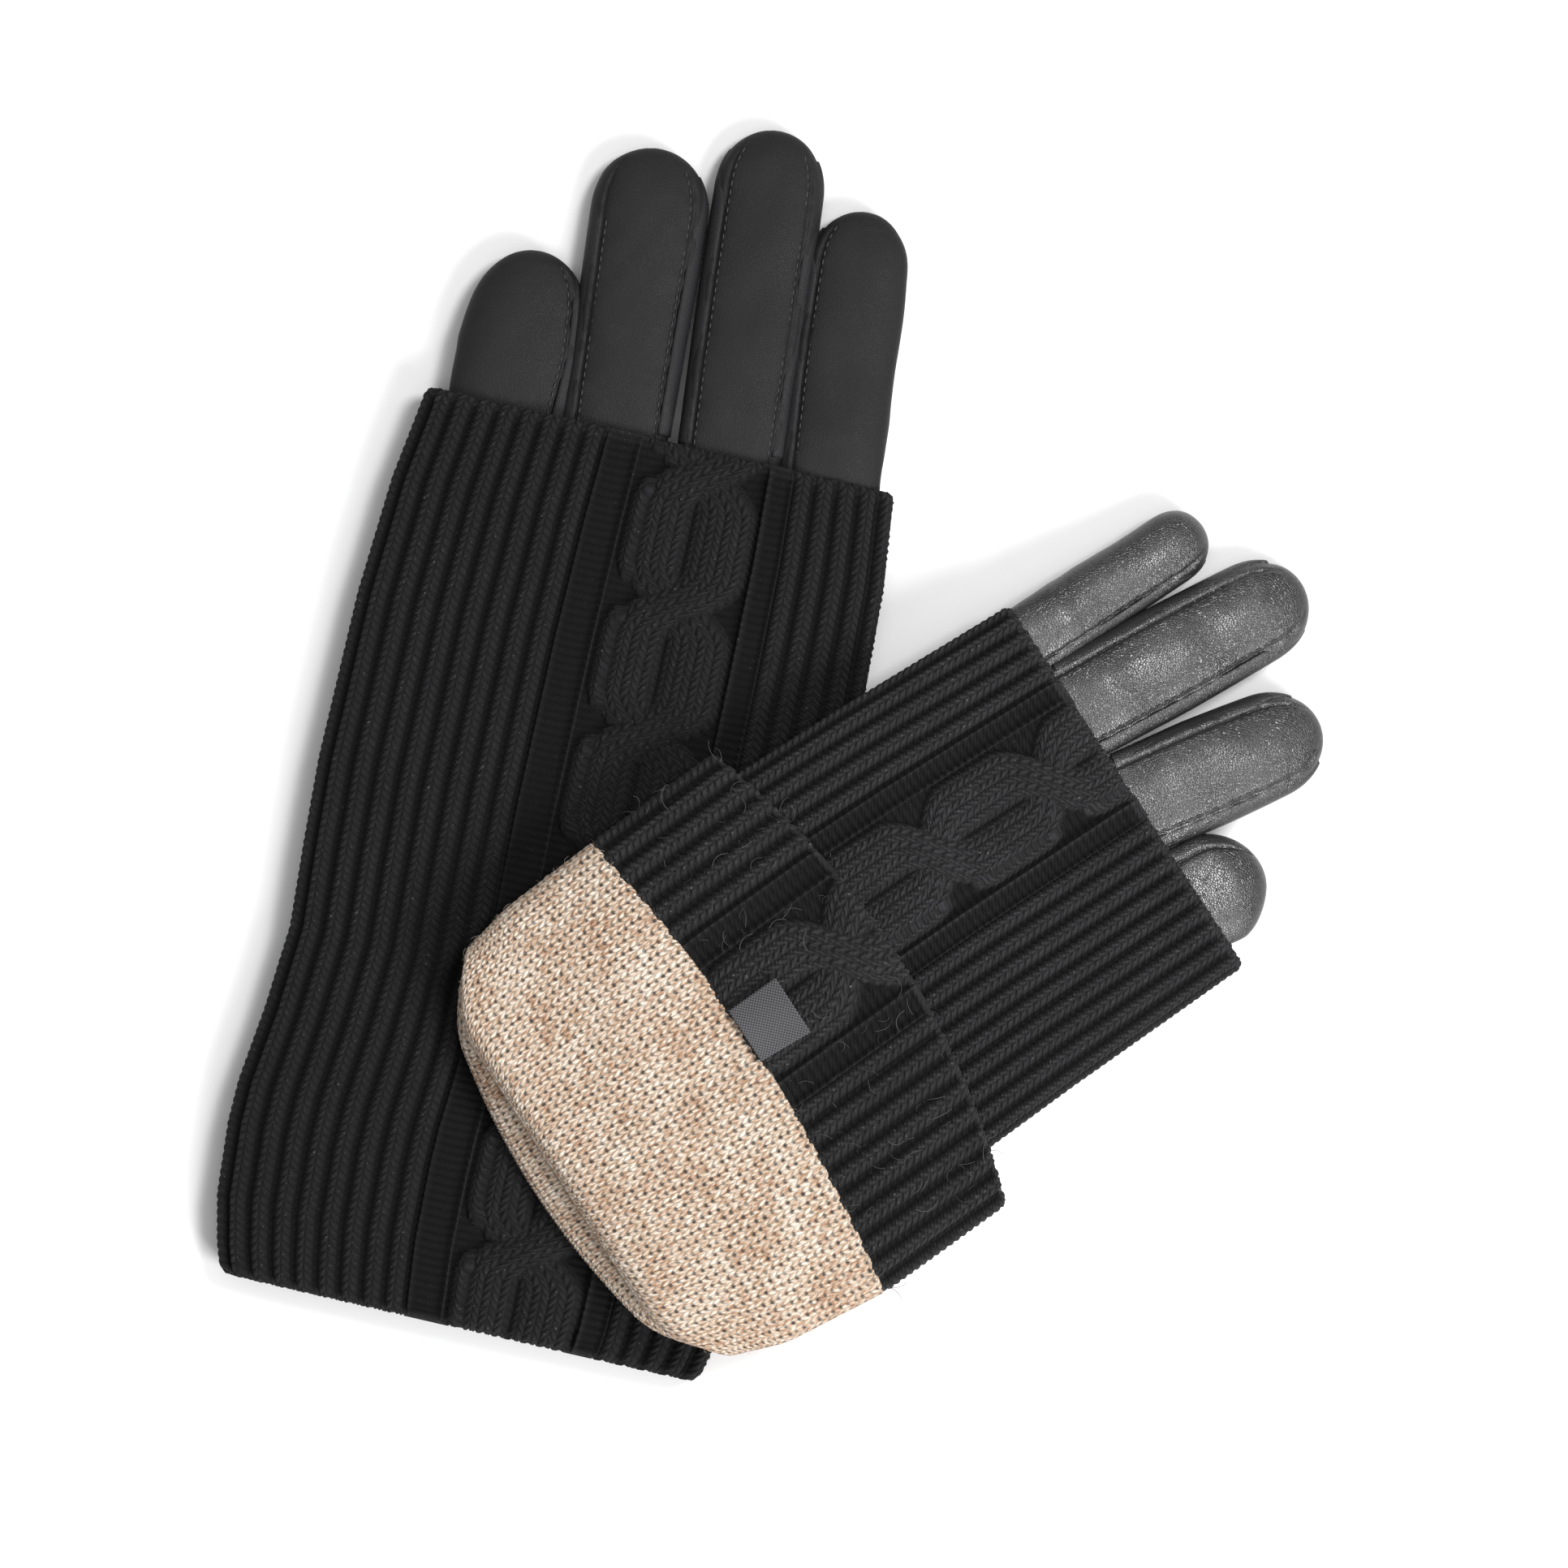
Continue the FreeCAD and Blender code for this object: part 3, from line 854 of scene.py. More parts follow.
@dataclass
class ClothPanel:
    """One half of a tube of cloth, with its rounded edges, as a closed sheet."""

    name: str
    hand: HandFrame
    section: Section
    half: Half
    corners: list[tuple[float, float]]
    spacing: list[float]
    columns: int
    pattern: KnitPattern | None
    material: bpy.types.Material
    thickness: float = 0.8
    wave: float = 0.5
    wave_scale: float = 60.0
    seed: int = 1
    reach: tuple[float, float] = (0.0, 1.0)
    firm_edges: tuple[float, ...] = ()

    def build(self, tree: bpy.types.NodeTree | None) -> bpy.types.Object:
        """Make the sheet, raise its ribs, and run the stitch tree over it.

        Args:
            tree: The stitch tree, or None for smooth cloth.

        Returns:
            The finished object.
        """
        u, inset, walked = path_rows(self.corners, self.spacing)
        share = np.linspace(self.reach[0], self.reach[1], self.columns)
        rows_u, cols = np.meshgrid(u, share, indexing="ij")
        rows_inset = np.repeat(inset[:, None], self.columns, axis=1)
        width = 2.0 * HALF_WIDTH + SIDE_LENGTH
        x = cols * width
        y = np.repeat(walked[:, None], self.columns, axis=1)
        flat = self.section.point(rows_u, rows_inset, cols, self.half)
        ripple = smooth_noise(flat * np.array([1.0, 1.0, 0.2]), self.wave_scale, self.seed)
        edge = np.clip(np.minimum(cols, 1.0 - cols) * 12.0, 0.0, 1.0)
        flat[..., 2] += ripple * self.wave * edge
        base = self.hand.place(flat)
        normal = normals_of(base)
        facing = 1.0 if self.half is Half.BACK else -1.0
        middle = normal[len(u) // 2, self.columns // 2, 2]
        if middle * facing < 0.0:
            normal = -normal
        relief, wale, course, plain = self.stitches(x, y)
        excess = rows_inset - inset.min()
        relief = relief * self.firmness(rows_u) * np.clip(1.0 - excess / 1.2, 0.0, 1.0)
        depth = self.pattern.rib_depth if self.pattern else 1.0
        # Crown: 1 on the relief's top, 0 in its grooves; it lifts the stitches, and the knit material darkens
        # the grooves with it as painted shade.
        crown = np.clip(1.0 + relief / depth, 0.0, 1.0)
        outer = base + normal * relief[..., None]
        step_rows = max(2, len(u) // 40)
        step_cols = max(2, self.columns // 40)
        pick_rows = np.linspace(0, len(u) - 1, max(2, len(u) // step_rows)).round().astype(int)
        pick_cols = np.linspace(0, self.columns - 1, max(2, self.columns // step_cols))
        pick_cols = pick_cols.round().astype(int)
        # Where the panel turns round an edge, its inner face stays close to the outer one.
        backing = min(self.backing(), 2.5) if excess.max() > 1.0 else self.backing()
        behind = np.where(excess < 0.5, backing, 0.4)
        inner = (base - normal * behind[..., None])[pick_rows][:, pick_cols]
        uv = np.stack([wale, course], -1)
        made = shell_object(self.name, outer, inner, self.material, uv)
        count = len(made.data.vertices)
        fine = outer.shape[0] * outer.shape[1]
        rise = np.zeros((count, 3))
        rise[:fine] = normal.reshape(-1, 3) * (0.35 + 0.65 * crown.reshape(-1, 1))
        for key, values in (("wale", wale), ("course", course), ("plain", plain), ("crown", crown)):
            whole = np.zeros(count)
            whole[:fine] = values.ravel()
            store(made.data, key, "FLOAT", whole)
        store(made.data, "rise", "FLOAT_VECTOR", rise)
        if tree is not None:
            depth = self.pattern.stitch_depth * MM if self.pattern else 0.00025
            apply_tree(made, tree, {"Stitch Depth": depth, "Leg Slant": 2.0, "Material": self.material})
        return made

    def firmness(self, u: Array) -> Array:
        """Share of the relief that is left near the panel's firm edges, 1 away from them."""
        made = np.ones_like(u)
        for edge in self.firm_edges:
            made = np.minimum(made, np.clip(0.3 + np.abs(u - edge) / 6.0, 0.3, 1.0))
        return made

    def backing(self) -> float:
        """How far the inner face lies behind the outer surface before its relief."""
        return self.thickness + (self.pattern.rib_depth if self.pattern else 0.0)

    def stitches(self, x: Array, y: Array) -> tuple[Array, Array, Array, Array]:
        """Relief and stitch coordinates; smooth cloth has fine jersey stitches."""
        if self.pattern:
            return self.pattern.across(x, y)
        return np.zeros_like(x), x / 2.2, y / 1.9, np.ones_like(x)


# ---------------------------------------------------------------- fingers

@dataclass(frozen=True)
class FingerShape:
    """Sizes of one leather finger in millimetres, and its pose in the glove's frame."""

    name: str
    base_v: float
    angle: float
    length: float
    width: float
    end_width: float
    height: float
    low: float
    gussets: tuple[int, ...]
    base_u: float = -7.0
    sway: float = 0.0
    crease: float = 0.5
    seed: int = 3


@dataclass
class LeatherFinger:
    """A puffy leather finger with its side strips and the seams beside them."""

    hand: HandFrame
    shape: FingerShape
    leather: bpy.types.Material
    strip: bpy.types.Material
    squareness: float = 2.5
    seam_angle: float = 42.0
    tip_share: float = 0.62
    belly: float = 0.035
    flattening: float = 0.22
    pressed_share: float = 0.58
    pressed_length: float = 14.0
    groove_depth: float = 0.55
    groove_degrees: float = 4.0
    pucker_depth: float = 0.10
    pucker_pitch: float = 4.2
    rings: int = 150
    tip_rings: int = 54
    around: int = 112

    def surface(self, along: Array, theta: Array, swell: Array | float = 0.0) -> Array:
        """Points on the finger's skin in the row frame.

        Args:
            along: 0 at the base to 1 at the tip.
            theta: Angle round the finger, 0 at its right side, 90 degrees on top.
            swell: Distance outwards from the plain skin.

        Returns:
            Points in millimetres.
        """
        s = self.shape
        whole = s.length - s.base_u
        a = s.base_u + along * whole
        tip = s.end_width * self.tip_share
        into = np.clip((a - (s.length - tip)) / tip, 0.0, 1.0)
        round_off = np.sqrt(np.clip(1.0 - into ** 2.3, 0.0, 1.0))
        taper = np.interp(a, [0.0, s.length * 0.35, s.length], [1.0, 1.0, s.end_width / s.width])
        belly = 1.0 + self.belly * np.sin(math.pi * np.clip(a / s.length, 0.0, 1.0))
        wide = s.width / 2.0 * taper * belly * round_off + swell
        flat = np.clip(1.0 - self.flattening * np.clip(a / s.length, 0.0, 1.0), 0.0, 1.0)
        # Under the edge of the knit the finger is pressed flatter, and it swells as it comes free.
        free = np.clip((a + 3.0) / self.pressed_length, 0.0, 1.0)
        pressed = self.pressed_share + (1.0 - self.pressed_share) * free * free * (3.0 - 2.0 * free)
        high = s.height / 2.0 * flat * pressed * np.clip(round_off, 0.0, 1.0) ** 0.8 + swell
        power = 2.0 / self.squareness
        cosine = np.cos(theta)
        sine = np.sin(theta)
        b = -wide * np.sign(cosine) * np.abs(cosine) ** power
        rise = high * np.sign(sine) * np.abs(sine) ** power
        centre = s.low + s.height / 2.0 * flat
        b = b + s.sway * np.clip(a / s.length, 0.0, 1.2) ** 2
        turn = math.radians(s.angle)
        u = 1.0 + a * math.cos(turn) - b * math.sin(turn)
        v = s.base_v + a * math.sin(turn) + b * math.cos(turn)
        return self.hand.place(np.stack([u, v, centre + rise], -1))

    def dents(self, along: Array, theta: Array) -> Array:
        """Seam grooves, drag creases and soft dents, in millimetres along the normal."""
        s = self.shape
        degrees = np.degrees(theta)
        total = np.zeros_like(along)
        for side in s.gussets:
            middle = 0.0 if side < 0 else 180.0
            for seam in (middle + self.seam_angle, middle - self.seam_angle):
                gap = (degrees - seam + 180.0) % 360.0 - 180.0
                ends = np.clip((0.97 - along) * 12.0, 0.0, 1.0)
                total -= self.groove_depth * np.exp(-(gap / self.groove_degrees) ** 2) * ends
                pucker = self.pucker_depth * np.sin(along * s.length * FULL_TURN / self.pucker_pitch)
                total += pucker * np.exp(-(gap / 10.0) ** 2)
        place = self.surface(along, theta)
        total += s.crease * 0.7 * smooth_noise(place, 26.0, s.seed)
        total += s.crease * 0.16 * smooth_noise(place * np.array([1.0, 1.0, 0.4]), 9.0, s.seed + 7)
        return total

    def build(self, name: str) -> bpy.types.Object:
        """Make the closed leather finger."""
        rings = self.rings
        around = self.around
        straight = rings - self.tip_rings
        along = np.concatenate([np.linspace(0.0, 0.78, straight, endpoint=False),
                                np.linspace(0.78, 0.9995, self.tip_rings)])
        theta = np.linspace(0.0, FULL_TURN, around, endpoint=False)
        rows, cols = np.meshgrid(along, theta, indexing="ij")
        base = self.surface(rows, cols)
        wrapped = np.concatenate([base[:, -1:], base, base[:, :1]], axis=1)
        normal = normals_of(wrapped)[:, 1:-1]
        centre = base.mean(axis=1, keepdims=True)
        outward = np.sign((normal * (base - centre)).sum(-1).mean())
        fade = np.clip((1.0 - rows) * 16.0, 0.0, 1.0)
        points = base + normal * outward * (self.dents(rows, cols) * fade)[..., None]
        flat = points.reshape(-1, 3)
        index = np.arange(rings * around).reshape(rings, around)
        after = np.roll(index, -1, axis=1)
        faces = np.stack([index[:-1], after[:-1], after[1:], index[1:]], -1).reshape(-1, 4).tolist()
        ends = np.stack([points[0].mean(0), points[-1].mean(0)])
        flat = np.concatenate([flat, ends])
        for ring, end in ((0, len(flat) - 2), (rings - 1, len(flat) - 1)):
            for k in range(around):
                faces.append((int(index[ring, k]), int(index[ring, (k + 1) % around]), end))
        return mesh_object(name, flat, faces, self.leather)

    def strip_object(self, name: str, side: int) -> bpy.types.Object:
        """Make one side strip: a thin closed band that swells between its two seams."""
        rows_n = 90
        cols_n = 15
        along = np.linspace(0.09, 0.93, rows_n)
        middle = 0.0 if side < 0 else 180.0
        angles = np.linspace(-self.seam_angle + 3.0, self.seam_angle - 3.0, cols_n)
        rows, cols = np.meshgrid(along, angles, indexing="ij")
        narrow = np.clip((0.97 - rows) * 5.0, 0.25, 1.0)
        theta = np.radians(middle + cols * narrow)
        across = np.abs(cols) / (self.seam_angle - 3.0)
        bulge = 0.35 * (1.0 - across ** 2) - 0.30 * across ** 4
        outer = self.surface(rows, theta, bulge + 0.12)
        picked = np.linspace(0, rows_n - 1, 16).round().astype(int)
        inner = self.surface(rows[picked][:, ::2], theta[picked][:, ::2], -0.8)
        uv = np.stack([rows, cols], -1)
        return shell_object(name, outer, inner, self.strip, uv)

    def seam_lines(self) -> list[Array]:
        """Lines on the upper side along which the seams are sewn."""
        made = []
        for side in self.shape.gussets:
            middle = 0.0 if side < 0 else 180.0
            seam = middle + self.seam_angle + 7.0 if side < 0 else middle - self.seam_angle - 7.0
            along = np.linspace(0.10, 0.93, 60)
            theta = np.radians(np.full_like(along, seam))
            made.append(self.surface(along, theta, 0.06))
        return made


@dataclass
class SeamTree:
    """Geometry Nodes tree that lays thread stitches along sewn lines."""

    name: str = "Seam stitches"

    def build(self) -> Tree:
        """Make the tree; pitch, stitch length and thread thickness are named inputs."""
        tree, entry = new_tree(self.name, {"Pitch": 0.0021, "Stitch Length": 0.0013, "Thread": 0.00022})
        curve = node(tree, "GeometryNodeMeshToCurve", None, {0: entry.outputs["Geometry"]})
        even = node(tree, "GeometryNodeResampleCurve", {"mode": "LENGTH"},
                    {"Curve": curve.outputs[0], "Length": entry.outputs["Pitch"]})
        tangent = node(tree, "GeometryNodeInputTangent")
        turn = node(tree, "FunctionNodeAlignRotationToVector", {"axis": "Z"}, {"Vector": tangent.outputs[0]})
        bead = node(tree, "GeometryNodeMeshUVSphere", None, {"Segments": 8, "Rings": 5, "Radius": 1.0})
        size = node(tree, "ShaderNodeCombineXYZ", None,
                    {"X": entry.outputs["Thread"], "Y": entry.outputs["Thread"],
                     "Z": maths(tree, "MULTIPLY", entry.outputs["Stitch Length"], 0.5)})
        placed = node(tree, "GeometryNodeInstanceOnPoints", None,
                      {"Points": even.outputs[0], "Instance": bead.outputs[0],
                       "Rotation": turn.outputs[0], "Scale": size.outputs[0]})
        return close_tree(tree, entry, placed.outputs[0])


@dataclass
class FuzzTree:
    """Geometry Nodes tree that scatters stray curled fibres over knitted cloth."""

    name: str = "Stray fibres"

    def build(self) -> Tree:
        """Make the tree; density, length and seed are named inputs."""
        tree, entry = new_tree(self.name, {"Density": 9000.0, "Length": 0.004, "Seed": 5})
        spread = node(tree, "GeometryNodeDistributePointsOnFaces", {"distribute_method": "RANDOM"},
                      {"Mesh": entry.outputs["Geometry"], "Density": entry.outputs["Density"],
                       "Seed": entry.outputs["Seed"]})
        # One curled hair of unit length, and as thick as 0.024 of its length.
        arc = node(tree, "GeometryNodeCurveQuadraticBezier", None,
                   {"Resolution": 5, "Start": (0.0, 0.0, -0.05), "Middle": (0.5, 0.35, 0.35),
                    "End": (1.0, -0.1, 0.12)})
        ring = node(tree, "GeometryNodeCurvePrimitiveCircle", {"mode": "RADIUS"},
                    {"Resolution": 3, "Radius": 0.012})
        hair = node(tree, "GeometryNodeCurveToMesh", None,
                    {"Curve": arc.outputs[0], "Profile Curve": ring.outputs[0], "Fill Caps": True})
        spin = node(tree, "FunctionNodeRandomValue", {"data_type": "FLOAT_VECTOR"},
                    {0: (-0.3, -0.3, 0.0), 1: (0.3, 0.3, FULL_TURN), "Seed": 3})
        tilt = node(tree, "FunctionNodeAlignRotationToVector", {"axis": "Z"},
                    {"Vector": spread.outputs["Normal"]})
        both = node(tree, "FunctionNodeRotateRotation", {"rotation_space": "LOCAL"},
                    {"Rotation": tilt.outputs[0], "Rotate By": spin.outputs[0]})
        vary = node(tree, "FunctionNodeRandomValue", {"data_type": "FLOAT"}, {2: 0.4, 3: 1.3, "Seed": 8})
        placed = node(tree, "GeometryNodeInstanceOnPoints", None,
                      {"Points": spread.outputs["Points"], "Instance": hair.outputs[0],
                       "Rotation": both.outputs[0],
                       "Scale": maths(tree, "MULTIPLY", vary.outputs[1], entry.outputs["Length"])})
        return close_tree(tree, entry, placed.outputs[0])


@dataclass(frozen=True)
class Trees:
    """The Geometry Nodes trees used by the pair."""

    stitches: Tree = field(default_factory=lambda: StitchTree().build())
    seams: Tree = field(default_factory=lambda: SeamTree().build())
    fuzz: Tree = field(default_factory=lambda: FuzzTree().build())


def seam_object(name: str, lines: list[Array], trees: Trees,
                material: bpy.types.Material) -> bpy.types.Object:
    """Sewn stitches along a set of lines, as one plain mesh."""
    points = np.concatenate(lines) * MM
    edges = []
    start = 0
    for line in lines:
        edges += [(start + k, start + k + 1) for k in range(len(line) - 1)]
        start += len(line)
    mesh = bpy.data.meshes.new(name)
    mesh.from_pydata(points.tolist(), edges, [])
    made = bpy.data.objects.new(name, mesh)
    bpy.context.scene.collection.objects.link(made)
    apply_tree(made, trees.seams, {"Pitch": 0.0021, "Stitch Length": 0.0014, "Thread": 0.00017,
                                   "Material": material})
    made.data.shade_smooth()
    return made


def fuzz_object(name: str, source: bpy.types.Object, trees: Trees, material: bpy.types.Material,
                density: float, length: float, seed: int) -> bpy.types.Object:
    """Stray fibres over a panel, as one plain mesh.

    Args:
        name: Object name.
        source: The panel they grow from.
        trees: The node trees.
        material: Their material.
        density: Fibres for each square metre.
        length: Typical length in metres.
        seed: Seed for their places.

    Returns:
        The fibres.
    """
    made = bpy.data.objects.new(name, source.data.copy())
    bpy.context.scene.collection.objects.link(made)
    apply_tree(made, trees.fuzz, {"Density": density, "Length": length, "Seed": seed,
                                  "Material": material})
    made.data.materials.clear()
    made.data.materials.append(material)
    return made


# ---------------------------------------------------------------- gloves

def dress(piece: bpy.types.Object, body: str, part: str | None) -> None:
    """Join a finished piece to its body and, when it stands for a part, hide that part.

    Args:
        piece: The finished object.
        body: The moving body that carries it.
        part: The part it stands for, or None for a detail.
    """
    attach(piece, body)
    if part:
        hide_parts(part)
    log.info("%s: %d faces on %s", piece.name, len(piece.data.polygons), body)


RIB = Zone.RIB
LADDER = Zone.LADDER
CABLE = Zone.CABLE
LEFT_BACK = KnitPattern(
    ((RIB, 48.6), (LADDER, 8.5), (CABLE, 32.0), (LADDER, 6.0), (RIB, 37.8)), cable_phase=0.35)
RIGHT_BACK = KnitPattern(
    ((RIB, 27.0), (LADDER, 6.0), (CABLE, 33.0), (LADDER, 6.0), (RIB, 60.0)), cable_phase=0.1)
FLAP_BACK = KnitPattern(
    ((RIB, 32.4), (LADDER, 6.5), (CABLE, 30.0), (LADDER, 6.5), (RIB, 60.0)), cable_phase=0.62)
RIBBED = KnitPattern(((RIB, 140.0),))
HEM_RIBBED = KnitPattern(((RIB, 140.0),), rib_depth=0.8, stitch_depth=0.25)

# Where the knit back is split across: before the cable's zone, after it, and at the other fold.
LEFT_SPLIT = (0.0, 0.3951, 0.7244, 1.0)
RIGHT_SPLIT = (0.0, 0.2195, 0.5854, 1.0)
BACK_COLUMNS = 450


@dataclass
class Glove:
    """What both gloves share: finishes, node trees, and the layers inside the sleeve."""

    finishes: Finishes
    trees: Trees

    def add(self, panel: ClothPanel, body: str, part: str | None, slot: str,
            stitched: bool = True) -> bpy.types.Object:
        """Build a panel and join it to its body.

        Args:
            panel: The panel.
            body: The moving body that carries it.
            part: The part it stands for, or None for a detail.
            slot: Material slot name; not used.
            stitched: True when the stitch tree runs over it.

        Returns:
            The finished piece.
        """
        piece = panel.build(self.trees.stitches if stitched else None)
        dress(piece, body, part)
        return piece

    def add_back(self, hand: HandFrame, section: Section, corners: list[tuple[float, float]],
                 spacing: list[float], pattern: KnitPattern, material: bpy.types.Material,
                 split: Sequence[float], wave: float, seed: int) -> None:
        """Knit back of the sleeve, in three panels side by side.

        Args:
            hand: The glove's frame.
            section: The sleeve's section.
            corners: Path of the rows.
            spacing: Row spacing along the path.
            pattern: Knit pattern.
            material: Its yarn.
            split: Shares across, at which the three panels start and end.
            wave: Height of the slow ripples in millimetres.
            seed: Seed for the ripples.
        """
        for start, end, word in zip(split, split[1:], ("ribs", "cable", "edge")):
            columns = int(round((end - start) * BACK_COLUMNS)) + 1
            self.add(ClothPanel(f"{hand.side}_sleeve_knit_{word}", hand, section, Half.BACK, corners, spacing,
                                columns, pattern, material, wave=wave, seed=seed, reach=(start, end),
                                firm_edges=(0.0,)),
                     f"{hand.side}_glove", f"{hand.side}_sleeve_knit", "sleeve_knit")

    def add_palm(self, hand: HandFrame, section: Section, corners: list[tuple[float, float]],
                 spacing: list[float], columns: int, material: bpy.types.Material, wave: float,
                 seed: int) -> None:
        """Ribbed palm of the sleeve, in one panel."""
        self.add(ClothPanel(f"{hand.side}_sleeve_knit_palm", hand, section, Half.PALM, corners, spacing,
                            columns, RIBBED, material, wave=wave, seed=seed, firm_edges=(0.0,)),
                 f"{hand.side}_glove", f"{hand.side}_sleeve_knit", "sleeve_knit")

    def add_inner(self, hand: HandFrame, section: Section, half: Half, cuff_end: float, columns: int,
                  thickness: float, hand_columns: int, nappa: bpy.types.Material) -> None:
        """Jersey lining and leather hand, which lie inside the sleeve.

        Args:
            hand: The glove's frame.
            section: The sleeve's section.
            half: Back or palm half.
            cuff_end: Where the lining ends at the cuff.
            columns: Grid columns of the lining.
            thickness: Thickness of the lining.
            hand_columns: Grid columns of the leather.
            nappa: The leather.
        """
        word = half.name.lower()
        side = hand.side
        self.add(ClothPanel(f"{side}_hand_lining_{word}", hand, section, half,
                            [(cuff_end, 4.9), (-2.0, 4.9)], [2.0], columns, None, self.finishes.jersey,
                            thickness=thickness, wave=0.0),
                 f"{side}_glove", f"{side}_hand_lining", "beige_lining", stitched=False)
        self.add(ClothPanel(f"{side}_hand_leather_{word}", hand, section, half,
                            [(-95.0, 4.0), (-0.5, 4.0)], [2.5], hand_columns, None, nappa,
                            thickness=0.6, wave=0.0),
                 f"{side}_glove", f"{side}_hand_leather", f"{side}_glove_leather", stitched=False)


@dataclass
class LeftGlove(Glove):
    """The lower glove, with its sleeve straight."""

    roof: float = 17.2
    palm: float = 4.6
    stations: tuple[tuple[float, float, float], ...] = (
        (-215.0, -57.5, 56.0), (-206.0, -59.5, 59.0), (-195.0, -60.5, 61.5), (-178.0, -61.0, 62.8),
        (-168.0, -61.0, 62.6), (-150.0, -61.0, 60.4), (-130.0, -61.0, 58.9), (-110.0, -61.0, 60.2),
        (-90.0, -61.0, 61.2), (-50.0, -60.0, 61.0), (-22.0, -58.6, 59.2), (0.0, -56.0, 56.0),
        (5.0, -55.5, 55.5))

    def section(self) -> Section:
        """The sleeve's widths and levels; the cuff end lies on the table."""
        def floor(u: Array) -> Array:
            return np.interp(u, [-178.0, -110.0], [0.8, self.palm])

        def roof(u: Array) -> Array:
            return np.interp(u, [-215.0, -200.0, 5.0], [self.roof - 0.6, self.roof, self.roof])

        return Section(self.stations, floor, roof)

    def build(self) -> None:
        """Build and dress every piece of the glove."""
        section = self.section()
        knit = self.finishes.knit
        corners = [(-200.0, 4.2)] + lip(-210.4, 4.2, 0.0, -1.0) + lip(-1.6, 0.0, 3.2, 1.0) + [(-9.0, 3.2)]
        back = [4.0] + [0.7] * 8 + [0.52] + [0.55] * 8 + [3.0]
        palm = [4.0] + [0.9] * 8 + [0.88] + [0.6] * 8 + [3.0]
        self.add_back(LEFT, section, corners, back, LEFT_BACK, knit, LEFT_SPLIT, wave=0.7, seed=4)
        self.add_palm(LEFT, section, corners, palm, 250, knit, wave=0.25, seed=6)
        for half in Half:
            self.add(ClothPanel(f"left_sleeve_hem_{half.name.lower()}", LEFT, section, half,
                                [(-208.0, 4.2), (-177.5, 4.1), (-177.0, 2.6)], [1.0, 0.8], 180, HEM_RIBBED,
                                self.finishes.hem, thickness=0.3, wave=0.0),
                     "left_glove", "left_sleeve_hem", "turned_hem_knit")
            self.add_inner(LEFT, section, half, -178.5, 120, 0.7, 100, self.finishes.left_nappa)


